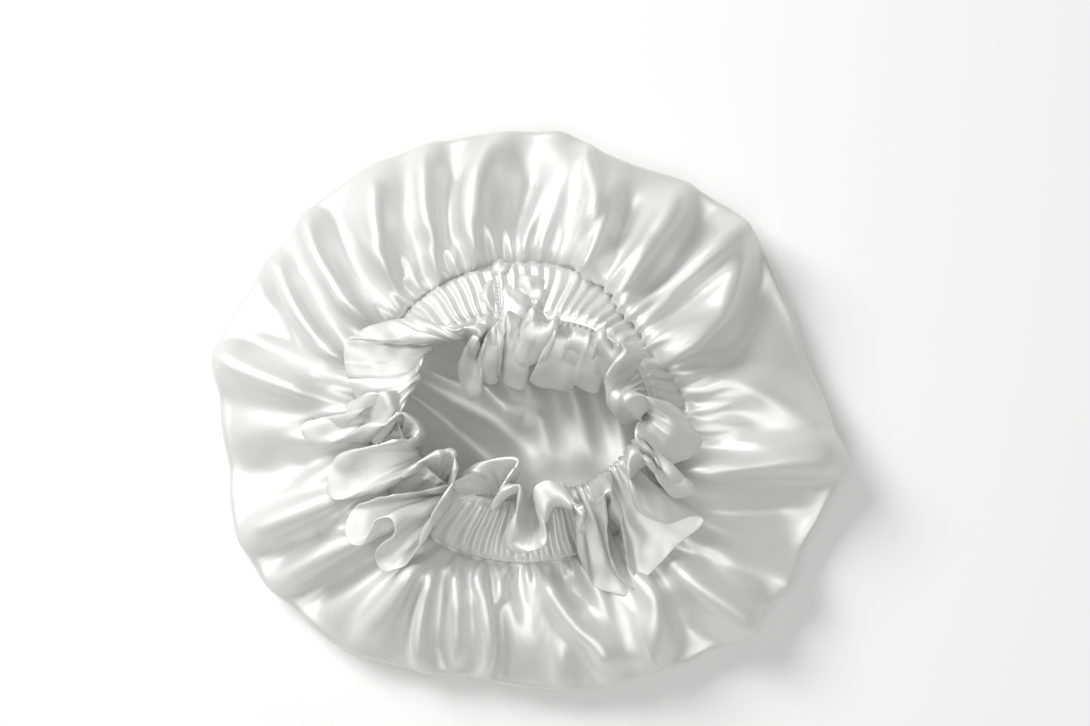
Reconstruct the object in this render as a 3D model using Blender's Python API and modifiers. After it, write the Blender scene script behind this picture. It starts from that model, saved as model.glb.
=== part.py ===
"""Satin sleep bonnet lying on its crown with the head opening up.

Metres, +Z up. +X is the wearer's side to the right, +Y points away from the viewer, and the
origin is the middle of the footprint, on the surface that the bonnet lies on.

The crown is one gathered disc of doubled satin: it rests on the surface, turns up at the rim and
comes back in over itself to the head opening. Its raw edge is tucked between the two layers of a
gathered casing, which holds the elastic, and a doubled ruffle is gathered on to the casing's other
edge. Every piece is worked out section by section, and a section's bearing is measured
anticlockwise from +X.
"""

import math
from collections import namedtuple

import bmesh
import bpy
from mathutils import Vector

# Sizes of the crown
CROWN_WIDTH = 0.320
CROWN_DEPTH = 0.287
CROWN_WALL = 0.0012
RIM_HEIGHT = 0.016
RIM_TUCK = 0.020
CREST_RISE = 0.010
GATHER_HEIGHT = 0.0016

# Sizes of the head opening's casing
SEAM_WIDTH = 0.158
SEAM_DEPTH = 0.150
SEAM_HEIGHT = 0.030
SEAM_SHIFT_X = -0.0015
SEAM_SHIFT_Y = -0.0066
CASING_WIDTH = 0.030
CASING_WALL = 0.0010
CASING_RIB_HEIGHT = 0.0012
CASING_FOLD = 0.0040
SEAM_TUCK = 0.0040

# Sizes of the elastic and the ruffle
ELASTIC_WIDTH = 0.0180
ELASTIC_GAP = 0.0020
ELASTIC_THICKNESS = 0.0010
RUFFLE_DEPTH = 0.042
RUFFLE_HEADER = 0.0030
RUFFLE_WALL = 0.0014

CLEARANCE = 0.00035
POCKET_CLEARANCE = 0.00075

# How many sections go round each piece
RIB_COUNT = 60
SECTIONS = 2 * RIB_COUNT
RUFFLE_SECTIONS = 176
INNER_SECTIONS = SECTIONS // 2

# The crown's outline: its reach at a bearing, as a share of the oval of the crown's width and
# depth, and its height as a share of RIM_HEIGHT.
Rim = namedtuple("Rim", "bearing reach lift")
RIM_ROWS = (
    Rim(2, 0.930, 1.10),
    Rim(12, 0.905, 1.05),
    Rim(30, 0.940, 1.15),
    Rim(50, 0.950, 1.15),
    Rim(68, 0.939, 1.00),
    Rim(77, 0.952, 0.95),
    Rim(84, 1.000, 1.15),
    Rim(94, 0.995, 0.95),
    Rim(105, 1.004, 0.95),
    Rim(120, 1.008, 0.85),
    Rim(135, 1.003, 0.80),
    Rim(148, 0.984, 0.75),
    Rim(160, 1.000, 0.75),
    Rim(170, 1.021, 0.85),
    Rim(179, 0.987, 0.70),
    Rim(189, 0.981, 0.70),
    Rim(202, 1.021, 0.75),
    Rim(216, 1.040, 0.75),
    Rim(229, 1.038, 0.80),
    Rim(240, 1.012, 0.80),
    Rim(252, 0.983, 0.95),
    Rim(260, 0.971, 0.85),
    Rim(268, 0.986, 0.95),
    Rim(282, 1.008, 1.00),
    Rim(296, 0.999, 0.95),
    Rim(301, 1.036, 1.05),
    Rim(316, 1.035, 1.10),
    Rim(330, 1.015, 1.15),
    Rim(342, 1.020, 1.30),
    Rim(348, 1.028, 1.45),
    Rim(354, 0.957, 1.25),
)

# How the casing lies: its slope up towards the opening, and the seam's height as a share of
# SEAM_HEIGHT.
Band = namedtuple("Band", "bearing slope lift")
BAND_ROWS = (
    Band(0, 52, 0.95),
    Band(45, 34, 1.05),
    Band(90, 12, 1.10),
    Band(135, 36, 1.00),
    Band(180, 55, 0.90),
    Band(225, 36, 0.95),
    Band(270, 10, 1.00),
    Band(315, 34, 0.95),
)

# Main folds of the crown between seam and rim: the bearing at which one leaves the seam and the
# bearing at which it comes to the rim, the stretch that it covers as shares of the way out, its
# height over the cloth round it (below, for a hollow), and its half width at the middle.
Fold = namedtuple("Fold", "seam rim start end height half_width")
FOLD_ROWS = (
    Fold(8, -2, 0.00, 0.90, 0.0110, 0.017),
    Fold(26, 20, 0.05, 0.95, -0.0080, 0.013),
    Fold(38, 44, 0.00, 0.95, 0.0120, 0.018),
    Fold(53, 60, 0.05, 0.85, -0.0070, 0.009),
    Fold(62, 69, 0.05, 0.95, 0.0070, 0.010),
    Fold(74, 78, 0.05, 0.80, -0.0045, 0.007),
    Fold(86, 82, 0.25, 0.95, -0.0085, 0.010),
    Fold(95, 91, 0.05, 0.98, 0.0080, 0.008),
    Fold(103, 99, 0.05, 0.80, -0.0060, 0.007),
    Fold(110, 106, 0.00, 0.95, 0.0080, 0.008),
    Fold(117, 112, 0.05, 0.90, -0.0060, 0.008),
    Fold(126, 121, 0.00, 0.95, 0.0075, 0.011),
    Fold(136, 132, 0.05, 0.95, -0.0065, 0.009),
    Fold(146, 141, 0.00, 0.98, 0.0080, 0.010),
    Fold(157, 150, 0.05, 0.75, -0.0080, 0.010),
    Fold(168, 158, 0.10, 0.90, 0.0070, 0.010),
    Fold(176, 171, 0.10, 0.98, 0.0070, 0.010),
    Fold(184, 179, 0.10, 0.95, -0.0060, 0.010),
    Fold(199, 198, 0.10, 0.90, 0.0065, 0.014),
    Fold(211, 206, 0.20, 0.85, -0.0070, 0.012),
    Fold(222, 219, 0.05, 0.90, 0.0080, 0.010),
    Fold(233, 231, 0.15, 0.80, -0.0080, 0.011),
    Fold(246, 240, 0.00, 0.95, 0.0085, 0.011),
    Fold(255, 252, 0.00, 0.98, 0.0060, 0.007),
    Fold(264, 261, 0.00, 0.98, 0.0055, 0.007),
    Fold(277, 280, 0.00, 0.95, 0.0075, 0.011),
    Fold(288, 290, 0.10, 0.80, -0.0070, 0.010),
    Fold(300, 299, 0.00, 0.98, 0.0110, 0.013),
    Fold(316, 313, 0.05, 0.95, -0.0085, 0.014),
    Fold(330, 333, 0.05, 0.90, 0.0085, 0.015),
    Fold(343, 345, 0.05, 0.85, -0.0075, 0.012),
)

# Soft folds of the crown's floor, seen through the head opening: the middle of each, the way that
# it runs, its half length, its half width and its height.
Ripple = namedtuple("Ripple", "x y bearing half_length half_width height")
RIPPLE_ROWS = (
    Ripple(-0.034, -0.019, 142, 0.060, 0.018, 0.0075),
    Ripple(0.018, -0.002, 122, 0.045, 0.015, 0.0055),
    Ripple(0.048, -0.010, 128, 0.050, 0.017, 0.0065),
)

# The ruffle's lobes, a row for each crest and hollow: how far the cloth has turned a third of the
# way out from the casing's own slope (up at 90 degrees, back over the casing at 180), how far it
# curls on from there to the free edge, how much it swings along the seam, and its depth as a share
# of RUFFLE_DEPTH.
Lobe = namedtuple("Lobe", "bearing turn curl swing depth")
LOBE_ROWS = (
    Lobe(2, 150, 5, 10, 0.90),
    Lobe(12, 104, 10, -20, 0.80),
    Lobe(23, 142, 5, 20, 0.85),
    Lobe(34, 74, -25, -25, 0.85),
    Lobe(46, 112, 10, 20, 0.80),
    Lobe(57, 34, -30, -20, 0.90),
    Lobe(68, 76, -10, 20, 0.75),
    Lobe(80, 0, -30, -15, 0.85),
    Lobe(93, 84, 20, 5, 0.75),
    Lobe(104, 0, -35, -15, 0.95),
    Lobe(114, 40, -25, 15, 0.90),
    Lobe(127, 100, 10, -15, 0.95),
    Lobe(140, 146, 5, 15, 1.00),
    Lobe(153, 112, 10, -15, 0.95),
    Lobe(165, 146, 5, 15, 1.00),
    Lobe(174, 116, 10, -20, 1.00),
    Lobe(183, 156, 0, 12, 1.25),
    Lobe(192, 116, 15, -15, 1.00),
    Lobe(202, 154, 5, 15, 1.10),
    Lobe(212, 112, 15, -18, 1.00),
    Lobe(223, 160, 5, 15, 1.10),
    Lobe(234, 106, 20, -20, 0.95),
    Lobe(244, 134, 15, 20, 0.95),
    Lobe(255, 52, -15, -10, 0.75),
    Lobe(266, 78, -5, 12, 0.72),
    Lobe(277, 58, -10, -12, 0.80),
    Lobe(289, 150, 25, 20, 1.05),
    Lobe(300, 108, 15, -18, 1.00),
    Lobe(312, 156, 10, 16, 1.20),
    Lobe(324, 112, 10, -16, 0.95),
    Lobe(334, 152, 5, 18, 0.95),
    Lobe(342, 112, 10, -20, 0.85),
    Lobe(352, 146, 5, 16, 0.90),
)

# Shares of the way from seam to rim at which the crown has a ring of points, and of the way from
# the middle of the floor to where the cloth lifts off it.
TOP_RINGS = (0.12, 0.33, 0.56, 0.80, 1.00)
FLOOR_RINGS = (0.72, 0.50, 0.36, 0.24, 0.12)
RUFFLE_RINGS = (0.30, 0.65, 1.00)

SATIN_WHITE = (0.86, 0.87, 0.85, 1.0)
ELASTIC_WHITE = (0.78, 0.78, 0.76, 1.0)


def around(rows, column, bearing):
    """Value of a table's column at a bearing, on a smooth closed curve through its rows."""
    count = len(rows)
    bearing = (bearing - rows[0].bearing) % 360 + rows[0].bearing
    low = max(i for i in range(count) if rows[i].bearing <= bearing)

    def place(i):
        return rows[i % count].bearing + 360 * (i // count)

    def value(i):
        return getattr(rows[i % count], column)

    def tangent(i):
        before = (value(i) - value(i - 1)) / (place(i) - place(i - 1))
        after = (value(i + 1) - value(i)) / (place(i + 1) - place(i))
        if before * after <= 0:
            return 0.0
        return 2 * before * after / (before + after)

    span = place(low + 1) - place(low)
    t = (bearing - place(low)) / span
    return (
        (1 + 2 * t) * (1 - t) ** 2 * value(low)
        + t * (1 - t) ** 2 * span * tangent(low)
        + t * t * (3 - 2 * t) * value(low + 1)
        + t * t * (t - 1) * span * tangent(low + 1)
    )


def smooth_step(low, high, x):
    """0 below low and 1 above high, with a smooth rise between them."""
    t = min(max((x - low) / (high - low), 0.0), 1.0)
    return t * t * (3 - 2 * t)


def direction(bearing):
    """Level unit vector at a bearing in degrees."""
    return Vector((math.cos(math.radians(bearing)), math.sin(math.radians(bearing)), 0.0))


def bearings(count):
    """Bearings of that many sections, evenly round."""
    return [360 * i / count for i in range(count)]


def loose_outline(bearing):
    """The rim at a bearing before it is fitted to the crown's width and depth."""
    way = direction(bearing)
    oval = 1 / math.hypot(way.x / (CROWN_WIDTH / 2), way.y / (CROWN_DEPTH / 2))
    return way * oval * around(RIM_ROWS, "reach", bearing)


OUTLINE = [loose_outline(bearing) for bearing in bearings(SECTIONS)]
OUTLINE_X = min(p.x for p in OUTLINE), max(p.x for p in OUTLINE)
OUTLINE_Y = min(p.y for p in OUTLINE), max(p.y for p in OUTLINE)


def rim_point(bearing):
    """Outermost point of the crown at a bearing, its footprint centred on the origin."""
    point = loose_outline(bearing)
    return Vector(
        (
            ((point.x - OUTLINE_X[0]) / (OUTLINE_X[1] - OUTLINE_X[0]) - 0.5) * CROWN_WIDTH,
            ((point.y - OUTLINE_Y[0]) / (OUTLINE_Y[1] - OUTLINE_Y[0]) - 0.5) * CROWN_DEPTH,
            RIM_HEIGHT * around(RIM_ROWS, "lift", bearing),
        )
    )


def band_frame(bearing):
    """Seam point of the casing at a bearing, the way up its width, and its outward normal."""
    way = direction(bearing)
    oval = 1 / math.hypot(way.x / (SEAM_WIDTH / 2), way.y / (SEAM_DEPTH / 2))
    seam = Vector((SEAM_SHIFT_X, SEAM_SHIFT_Y, 0.0)) + way * oval
    seam.z = SEAM_HEIGHT * around(BAND_ROWS, "lift", bearing)
    slope = math.radians(around(BAND_ROWS, "slope", bearing))
    up_width = -way * math.cos(slope) + Vector((0, 0, math.sin(slope)))
    normal = way * math.sin(slope) + Vector((0, 0, math.cos(slope)))
    return seam, up_width, normal


def band_point(bearing, along, height):
    """A point on the casing: that far from the seam up its width, and that far off its middle."""
    seam, up_width, normal = band_frame(bearing)
    return seam + up_width * along + normal * height


def fold_lift(bearing, share, span):
    """How far the main folds raise the crown's top at a bearing and a share of the way out."""
    radius = SEAM_WIDTH / 2 + share * span
    lift = 0.0
    for fold in FOLD_ROWS:
        middle = fold.seam + (fold.rim - fold.seam) * share
        off = (bearing - middle + 180) % 360 - 180
        half_width = fold.half_width * (0.5 + share)
        across = math.radians(off) * radius / half_width
        if abs(across) < 1:
            entry = smooth_step(fold.start - 0.05, fold.start + 0.30, share)
            leave = 1 - smooth_step(fold.end - 0.30, fold.end + 0.05, share)
            lift += fold.height * (1 + math.cos(math.pi * across)) / 2 * entry * leave
    return lift


def gather_lift(bearing, share):
    """Height of the small gathers that fan out from the seam."""
    ridge = 1 if round(bearing * SECTIONS / 360) % 2 else -1
    return ridge * GATHER_HEIGHT / 2 * smooth_step(0, 0.1, share) * (1 - smooth_step(0.1, 0.55, share))


def crown_top(bearing, share):
    """A point of the crown between the seam, at share 0, and the rim, at share 1."""
    seam = band_point(bearing, -CLEARANCE - CROWN_WALL, 0)
    rim = rim_point(bearing)
    quarter = math.pi / 2 * share
    point = seam.lerp(rim, math.sin(quarter) ** 1.1)
    crest = CREST_RISE * math.sin(math.pi * share**0.8)
    point.z = rim.z + (seam.z - rim.z) * math.cos(quarter) + crest
    point.z += fold_lift(bearing, share, (rim - seam).length) + gather_lift(bearing, share)
    return point


def crown_turn(bearing, share):
    """A point of the crown between the rim, at share 0, and where it meets the floor, at share 1."""
    rim = rim_point(bearing)
    quarter = math.pi / 2 * share
    point = rim - direction(bearing) * RIM_TUCK * (1 - math.cos(quarter))
    point.z = CROWN_WALL / 2 + (rim.z - CROWN_WALL / 2) * (1 - math.sin(quarter))
    return point


def ripple_lift(point):
    """How far the soft folds raise the crown's floor at a point."""
    lift = 0.0
    for ripple in RIPPLE_ROWS:
        way = direction(ripple.bearing)
        off = Vector((point.x - ripple.x, point.y - ripple.y, 0.0))
        along = abs(off.dot(way)) / ripple.half_length
        across = abs(off.cross(way).z) / ripple.half_width
        if along < 1 and across < 1:
            fade = math.cos(math.pi / 2 * along) ** 2
            lift += ripple.height * fade * math.cos(math.pi / 2 * across) ** 2
    return lift


def crown_floor(bearing, share):
    """A point of the crown's floor, at a share of the way from its middle to where it lifts off."""
    point = crown_turn(bearing, 1.0) * share
    point.z = CROWN_WALL / 2 + ripple_lift(point)
    return point


def ruffle_line(bearing):
    """Points of the ruffle at a bearing, from its stitched edge to its free edge."""
    start = CASING_WIDTH + CLEARANCE
    points = [band_point(bearing, start, 0), band_point(bearing, start + RUFFLE_HEADER, 0)]
    _, up_width, normal = band_frame(bearing)
    along = direction(bearing + 90)
    turn = math.radians(around(LOBE_ROWS, "turn", bearing))
    swing = math.radians(around(LOBE_ROWS, "swing", bearing))
    depth = RUFFLE_DEPTH * around(LOBE_ROWS, "depth", bearing) - RUFFLE_HEADER
    sideways = normal * math.cos(swing) + along * math.sin(swing)
    curl = math.radians(around(LOBE_ROWS, "curl", bearing))
    steps = 12
    place = points[-1].copy()
    for step in range(1, steps + 1):
        share = (step - 0.5) / steps
        angle = turn * (1 - (1 - share) ** 5) + curl * share**2
        place += (up_width * math.cos(angle) + sideways * math.sin(angle)) * depth / steps
        if any(abs(step / steps - ring) < 0.5 / steps for ring in RUFFLE_RINGS):
            points.append(place.copy())
    return points


def new_object(name, mesh_builder, colour, collection, roughness=0.35):
    """An object with its own satin material, from a function that fills a bmesh."""
    shape = bmesh.new()
    mesh_builder(shape)
    mesh = bpy.data.meshes.new(name)
    shape.to_mesh(mesh)
    shape.free()
    obj = bpy.data.objects.new(name, mesh)
    collection.objects.link(obj)
    material = bpy.data.materials.new(name)
    material.use_nodes = True
    surface = material.node_tree.nodes["Principled BSDF"]
    surface.inputs["Base Color"].default_value = colour
    surface.inputs["Roughness"].default_value = roughness
    surface.inputs["Metallic"].default_value = 0.0
    surface.inputs["Sheen Weight"].default_value = 0.3
    mesh.materials.append(material)
    mesh.shade_smooth()
    return obj


def add_ring(shape, points):
    """The vertices of one closed ring of points."""
    return [shape.verts.new(point) for point in points]


def join_rings(shape, first, second):
    """Faces between two rings, the second with as many points as the first or half as many."""
    step = len(first) // len(second)
    for i in range(len(second)):
        a, b = first[i * step], first[(i * step + step) % len(first)]
        c, d = second[(i + 1) % len(second)], second[i]
        if step == 1:
            shape.faces.new((a, b, c, d))
        else:
            middle = first[i * step + 1]
            shape.faces.new((a, middle, d))
            shape.faces.new((middle, c, d))
            shape.faces.new((middle, b, c))


def add_wall(obj, thickness):
    """A Solidify modifier that gives an open surface its cloth's thickness, half on each side."""
    wall = obj.modifiers.new("wall", "SOLIDIFY")
    wall.thickness = thickness
    wall.offset = 0
    wall.use_even_offset = False
    wall.use_quality_normals = True


def build_crown(collection):
    """The doubled satin pouch, open at the seam, its edge tucked into the casing."""

    def surface(shape):
        ways = bearings(SECTIONS)
        rings = [
            [band_point(way, SEAM_TUCK, 0) for way in ways],
            [crown_top(way, 0) for way in ways],
        ]
        rings += [[crown_top(way, share) for way in ways] for share in TOP_RINGS]
        rings += [[crown_turn(way, share) for way in ways] for share in (0.5, 1.0)]
        inner_ways = bearings(INNER_SECTIONS)
        rings += [[crown_floor(way, share) for way in inner_ways] for share in FLOOR_RINGS]
        made = [add_ring(shape, ring) for ring in rings]
        for first, second in zip(made, made[1:]):
            join_rings(shape, first, second)
        middle = shape.verts.new(crown_floor(0, 0))
        for i, vertex in enumerate(made[-1]):
            shape.faces.new((vertex, made[-1][(i + 1) % INNER_SECTIONS], middle))
        bmesh.ops.triangulate(shape, faces=shape.faces[:], quad_method="FIXED")
        bmesh.ops.recalc_face_normals(shape, faces=shape.faces[:])

    crown = new_object("crown", surface, SATIN_WHITE, collection)
    add_wall(crown, CROWN_WALL)
    return crown


def ring_solid(shape, sections):
    """A closed loft round the opening through one closed section for each bearing."""
    made = [add_ring(shape, section) for section in sections]
    for first, second in zip(made, made[1:] + made[:1]):
        join_rings(shape, first, second)
    bmesh.ops.triangulate(shape, faces=shape.faces[:], quad_method="FIXED")
    bmesh.ops.recalc_face_normals(shape, faces=shape.faces[:])


def build_casing(collection):
    """The gathered tunnel: one layer over the elastic and one under it, folded at the ruffle."""
    inner = ELASTIC_THICKNESS / 2 + POCKET_CLEARANCE
    lip = inner + CASING_WALL
    crest = CASING_WIDTH - CASING_FOLD

    def section(bearing):
        rib = CASING_RIB_HEIGHT if round(bearing * SECTIONS / 360) % 2 else 0.0
        outside = [
            (0, lip),
            (crest, lip + rib),
            (CASING_WIDTH, CASING_WALL),
            (CASING_WIDTH, -CASING_WALL),
            (crest, -lip - rib),
            (0, -lip),
        ]
        pocket = [(0, -inner), (crest, -inner), (crest, inner), (0, inner)]
        return [band_point(bearing, along, height) for along, height in outside + pocket]

    def surface(shape):
        ring_solid(shape, [section(way) for way in bearings(SECTIONS)])

    return new_object("casing", surface, SATIN_WHITE, collection)


def build_elastic(collection):
    """The flat elastic in the middle of the casing's tunnel."""
    low = SEAM_TUCK + ELASTIC_GAP
    high = low + ELASTIC_WIDTH
    half = ELASTIC_THICKNESS / 2
    corners = ((low, -half), (high, -half), (high, half), (low, half))

    def surface(shape):
        ways = bearings(INNER_SECTIONS)
        ring_solid(shape, [[band_point(way, *corner) for corner in corners] for way in ways])

    return new_object("elastic", surface, ELASTIC_WHITE, collection, roughness=0.8)


def build_ruffle(collection):
    """The doubled frill, gathered on to the casing's inner edge."""

    def surface(shape):
        lines = [ruffle_line(way) for way in bearings(RUFFLE_SECTIONS)]
        made = [add_ring(shape, ring) for ring in zip(*lines)]
        for first, second in zip(made, made[1:]):
            join_rings(shape, first, second)
        bmesh.ops.triangulate(shape, faces=shape.faces[:], quad_method="FIXED")
        bmesh.ops.recalc_face_normals(shape, faces=shape.faces[:])

    ruffle = new_object("ruffle", surface, SATIN_WHITE, collection)
    add_wall(ruffle, RUFFLE_WALL)
    return ruffle


def main():
    for obj in list(bpy.data.objects):
        bpy.data.objects.remove(obj, do_unlink=True)
    collection = bpy.data.collections.new("sleep_bonnet")
    bpy.context.scene.collection.children.link(collection)
    build_crown(collection)
    build_casing(collection)
    build_elastic(collection)
    build_ruffle(collection)


main()
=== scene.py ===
"""Looks of a white satin sleep bonnet that lies on its crown with the head opening up.

Every piece is made in metres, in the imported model's frame: +X to the viewer's right, +Y away from
the viewer, +Z up, and the origin in the middle of the footprint. A bearing is measured
anticlockwise from +X, in degrees. Tables of folds are in millimetres, as seen from above.
"""

import logging
import math
from dataclasses import dataclass
from typing import Any, NamedTuple, Sequence

import bpy
import numpy as np
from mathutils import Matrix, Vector


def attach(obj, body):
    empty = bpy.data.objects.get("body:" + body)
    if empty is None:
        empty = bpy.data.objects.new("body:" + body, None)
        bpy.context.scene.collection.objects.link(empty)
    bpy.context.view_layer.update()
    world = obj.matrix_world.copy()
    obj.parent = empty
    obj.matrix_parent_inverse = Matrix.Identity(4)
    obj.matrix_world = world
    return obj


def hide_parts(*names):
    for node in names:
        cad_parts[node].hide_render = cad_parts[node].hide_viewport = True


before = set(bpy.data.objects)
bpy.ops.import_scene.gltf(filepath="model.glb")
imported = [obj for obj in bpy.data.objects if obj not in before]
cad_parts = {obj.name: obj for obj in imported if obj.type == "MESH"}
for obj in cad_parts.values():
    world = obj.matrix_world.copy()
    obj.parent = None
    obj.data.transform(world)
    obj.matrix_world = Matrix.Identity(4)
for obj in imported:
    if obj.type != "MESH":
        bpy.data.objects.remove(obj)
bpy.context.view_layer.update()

MM = 0.001
UP = np.array([0.0, 0.0, 1.0])
LOG = logging.getLogger("sleep_bonnet")

# a lowest and a highest value, or where a change starts and ends
Span = tuple[float, float]


# Curves and small maths


def closed_curve(
    bearings: Sequence[float], values: Sequence[float], at: np.ndarray, swings: bool = False
) -> np.ndarray:
    """Reads a smooth closed curve through values given at bearings.

    Args:
        bearings: the rows' bearings in degrees, rising, within one turn.
        values: the rows' values.
        at: bearings to read the curve at.
        swings: whether the curve may swing a little past its rows, as loose cloth does.

    Returns:
        The curve's value at each bearing.
    """
    place = np.array(bearings, dtype=float)
    value = np.array(values, dtype=float)
    place = np.concatenate([place[-2:] - 360, place, place[:3] + 360])
    value = np.concatenate([value[-2:], value, value[:3]])
    tangent = np.zeros_like(value)
    if swings:
        tangent[1:-1] = (value[2:] - value[:-2]) / (place[2:] - place[:-2])
    else:
        slope = np.diff(value) / np.diff(place)
        before, after = slope[:-1], slope[1:]
        both = before * after > 0
        total = np.where(both, before + after, 1.0)
        tangent[1:-1] = np.where(both, 2 * before * after / total, 0.0)
    turned = (at - bearings[0]) % 360 + bearings[0]
    low = np.clip(np.searchsorted(place, turned, side="right") - 1, 0, len(place) - 2)
    span = place[low + 1] - place[low]
    t = (turned - place[low]) / span
    return (
        (1 + 2 * t) * (1 - t) ** 2 * value[low]
        + t * (1 - t) ** 2 * span * tangent[low]
        + t * t * (3 - 2 * t) * value[low + 1]
        + t * t * (t - 1) * span * tangent[low + 1]
    )


def column(rows: Sequence[Any], name: str, at: np.ndarray) -> np.ndarray:
    """A table's named column, read as a closed curve at bearings."""
    return closed_curve([row.bearing for row in rows], [getattr(row, name) for row in rows], at)


def bend(start: Any, pull: Any, end: Any, t: np.ndarray) -> np.ndarray:
    """A bent line from start to end, drawn towards pull, at shares t of the way."""
    return (1 - t) ** 2 * start + 2 * t * (1 - t) * pull + t * t * end


def pull_through(start: Any, middle: Any, end: Any) -> Any:
    """The pull that takes a bent line through a middle point."""
    return 2 * middle - (start + end) / 2


def smooth_step(low: float, high: float, x: Any) -> np.ndarray:
    """0 below low and 1 above high, with a smooth rise between them."""
    t = np.clip((x - low) / (high - low), 0.0, 1.0)
    return t * t * (3 - 2 * t)


def unit(vectors: np.ndarray) -> np.ndarray:
    """The vectors at length 1."""
    return vectors / np.maximum(np.linalg.norm(vectors, axis=-1, keepdims=True), 1e-12)


def level_way(bearings: np.ndarray) -> np.ndarray:
    """Level unit vectors at bearings in degrees."""
    angle = np.radians(bearings)
    return np.stack([np.cos(angle), np.sin(angle), np.zeros_like(angle)], axis=-1)


def oval_reach(way: np.ndarray, width: float, depth: float) -> np.ndarray:
    """How far an oval of that width and depth reaches along level unit vectors."""
    return 1 / np.hypot(way[:, 0] / (width / 2), way[:, 1] / (depth / 2))


def normals(rows: np.ndarray) -> np.ndarray:
    """Unit normals of a grid whose rows are closed rings."""
    round_way = np.roll(rows, -1, axis=1) - np.roll(rows, 1, axis=1)
    return unit(np.cross(np.gradient(rows, axis=0), round_way))


def evenly(count: int) -> np.ndarray:
    """That many bearings, evenly round."""
    return np.arange(count) * (360.0 / count)


def soft_noise(points: np.ndarray, pitch: float, seed: int, waves: int = 7) -> np.ndarray:
    """Smooth noise of about -1 to 1, from a few seeded waves that run in all directions.

    Args:
        points: where to read it, in metres.
        pitch: the length of a typical wave, in metres.
        seed: the seed of the waves' directions and phases.
        waves: how many waves are added.

    Returns:
        The noise at each point.
    """
    draw = np.random.default_rng(seed)
    total = np.zeros(points.shape[:-1])
    for _ in range(waves):
        way = unit(draw.normal(size=3))
        length = pitch * draw.uniform(0.7, 1.5)
        total += np.sin(points @ way * (2 * math.pi / length) + draw.uniform(0, 2 * math.pi))
    return total / math.sqrt(waves)


# Meshes


class Cloth:
    """Gathers rings of points and the faces between them, and makes one mesh of them."""

    def __init__(self) -> None:
        """Starts with no points."""
        self.points: list[np.ndarray] = []
        self.faces: list[tuple[int, ...]] = []
        self.count = 0

    def ring(self, points: np.ndarray) -> np.ndarray:
        """Adds a row of points.

        Args:
            points: the row's places, in metres.

        Returns:
            The numbers of the new points.
        """
        self.points.append(np.asarray(points, dtype=float))
        numbers = np.arange(self.count, self.count + len(points))
        self.count += len(points)
        return numbers

    def join(self, first: np.ndarray, second: np.ndarray, closed: bool = True) -> None:
        """Adds the faces between two rows, the second with as many points or half as many.

        Args:
            first: the numbers of the first row's points.
            second: the numbers of the second row's points.
            closed: whether the rows are rings.
        """
        step = len(first) // len(second)
        stop = len(second) if closed else len(second) - 1
        for i in range(stop):
            a, b = first[i * step], first[(i * step + step) % len(first)]
            c, d = second[(i + 1) % len(second)], second[i]
            if step == 1:
                self.faces.append((a, b, c, d))
            else:
                middle = first[i * step + 1]
                self.faces.extend([(a, middle, d), (middle, c, d), (middle, b, c)])

    def fan(self, ring: np.ndarray, middle: np.ndarray) -> None:
        """Closes a ring with triangles to one point in its middle.

        Args:
            ring: the numbers of the ring's points.
            middle: the point's place.
        """
        centre = self.ring(middle[None, :])[0]
        for i, number in enumerate(ring):
            self.faces.append((number, ring[(i + 1) % len(ring)], centre))

    def make(self, name: str, material: bpy.types.Material) -> bpy.types.Object:
        """Makes the object.

        Args:
            name: its name.
            material: its only material.

        Returns:
            The new object, smooth shaded, in the scene.
        """
        mesh = bpy.data.meshes.new(name)
        mesh.from_pydata(np.concatenate(self.points).tolist(), [], self.faces)
        mesh.validate()
        mesh.shade_smooth()
        mesh.materials.append(material)
        obj = bpy.data.objects.new(name, mesh)
        bpy.context.scene.collection.objects.link(obj)
        return obj


def grid_of(rows: Sequence[np.ndarray], closed: bool = True) -> Cloth:
    """A cloth through rows of points, each joined to the next.

    Args:
        rows: the rows of points.
        closed: whether the rows are rings.

    Returns:
        The cloth.
    """
    cloth = Cloth()
    numbers = [cloth.ring(row) for row in rows]
    for first, second in zip(numbers, numbers[1:]):
        cloth.join(first, second, closed)
    return cloth


def add_wall(obj: bpy.types.Object, thickness: float, offset: float = 0.0) -> None:
    """Gives an open surface its cloth's thickness.

    Args:
        obj: the surface.
        thickness: the cloth's thickness in metres.
        offset: 0 for half on each side, -1 for all of it behind the surface.
    """
    wall = obj.modifiers.new("wall", "SOLIDIFY")
    wall.thickness = thickness
    wall.offset = offset
    wall.use_quality_normals = True


# Materials

Colour = tuple[float, float, float, float]


class Value:
    """A socket of a node tree, on which Python's operators add Math nodes."""

    def __init__(self, sheet: "NodeSheet", socket: Any) -> None:
        """Wraps a socket or a number of a sheet."""
        self.sheet = sheet
        self.socket = socket

    def _math(self, operation: str, other: Any) -> "Value":
        """A Math node of this value and another."""
        node = self.sheet.node("ShaderNodeMath", {"operation": operation}, {0: self, 1: other})
        return Value(self.sheet, node.outputs[0])

    def __add__(self, other: Any) -> "Value":
        """This plus another."""
        return self._math("ADD", other)

    def __mul__(self, other: Any) -> "Value":
        """This times another."""
        return self._math("MULTIPLY", other)

    def __sub__(self, other: Any) -> "Value":
        """This minus another."""
        return self._math("SUBTRACT", other)

    def __rsub__(self, other: Any) -> "Value":
        """A number minus this."""
        return Value(self.sheet, other)._math("SUBTRACT", self)

    __radd__ = __add__
    __rmul__ = __mul__


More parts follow.
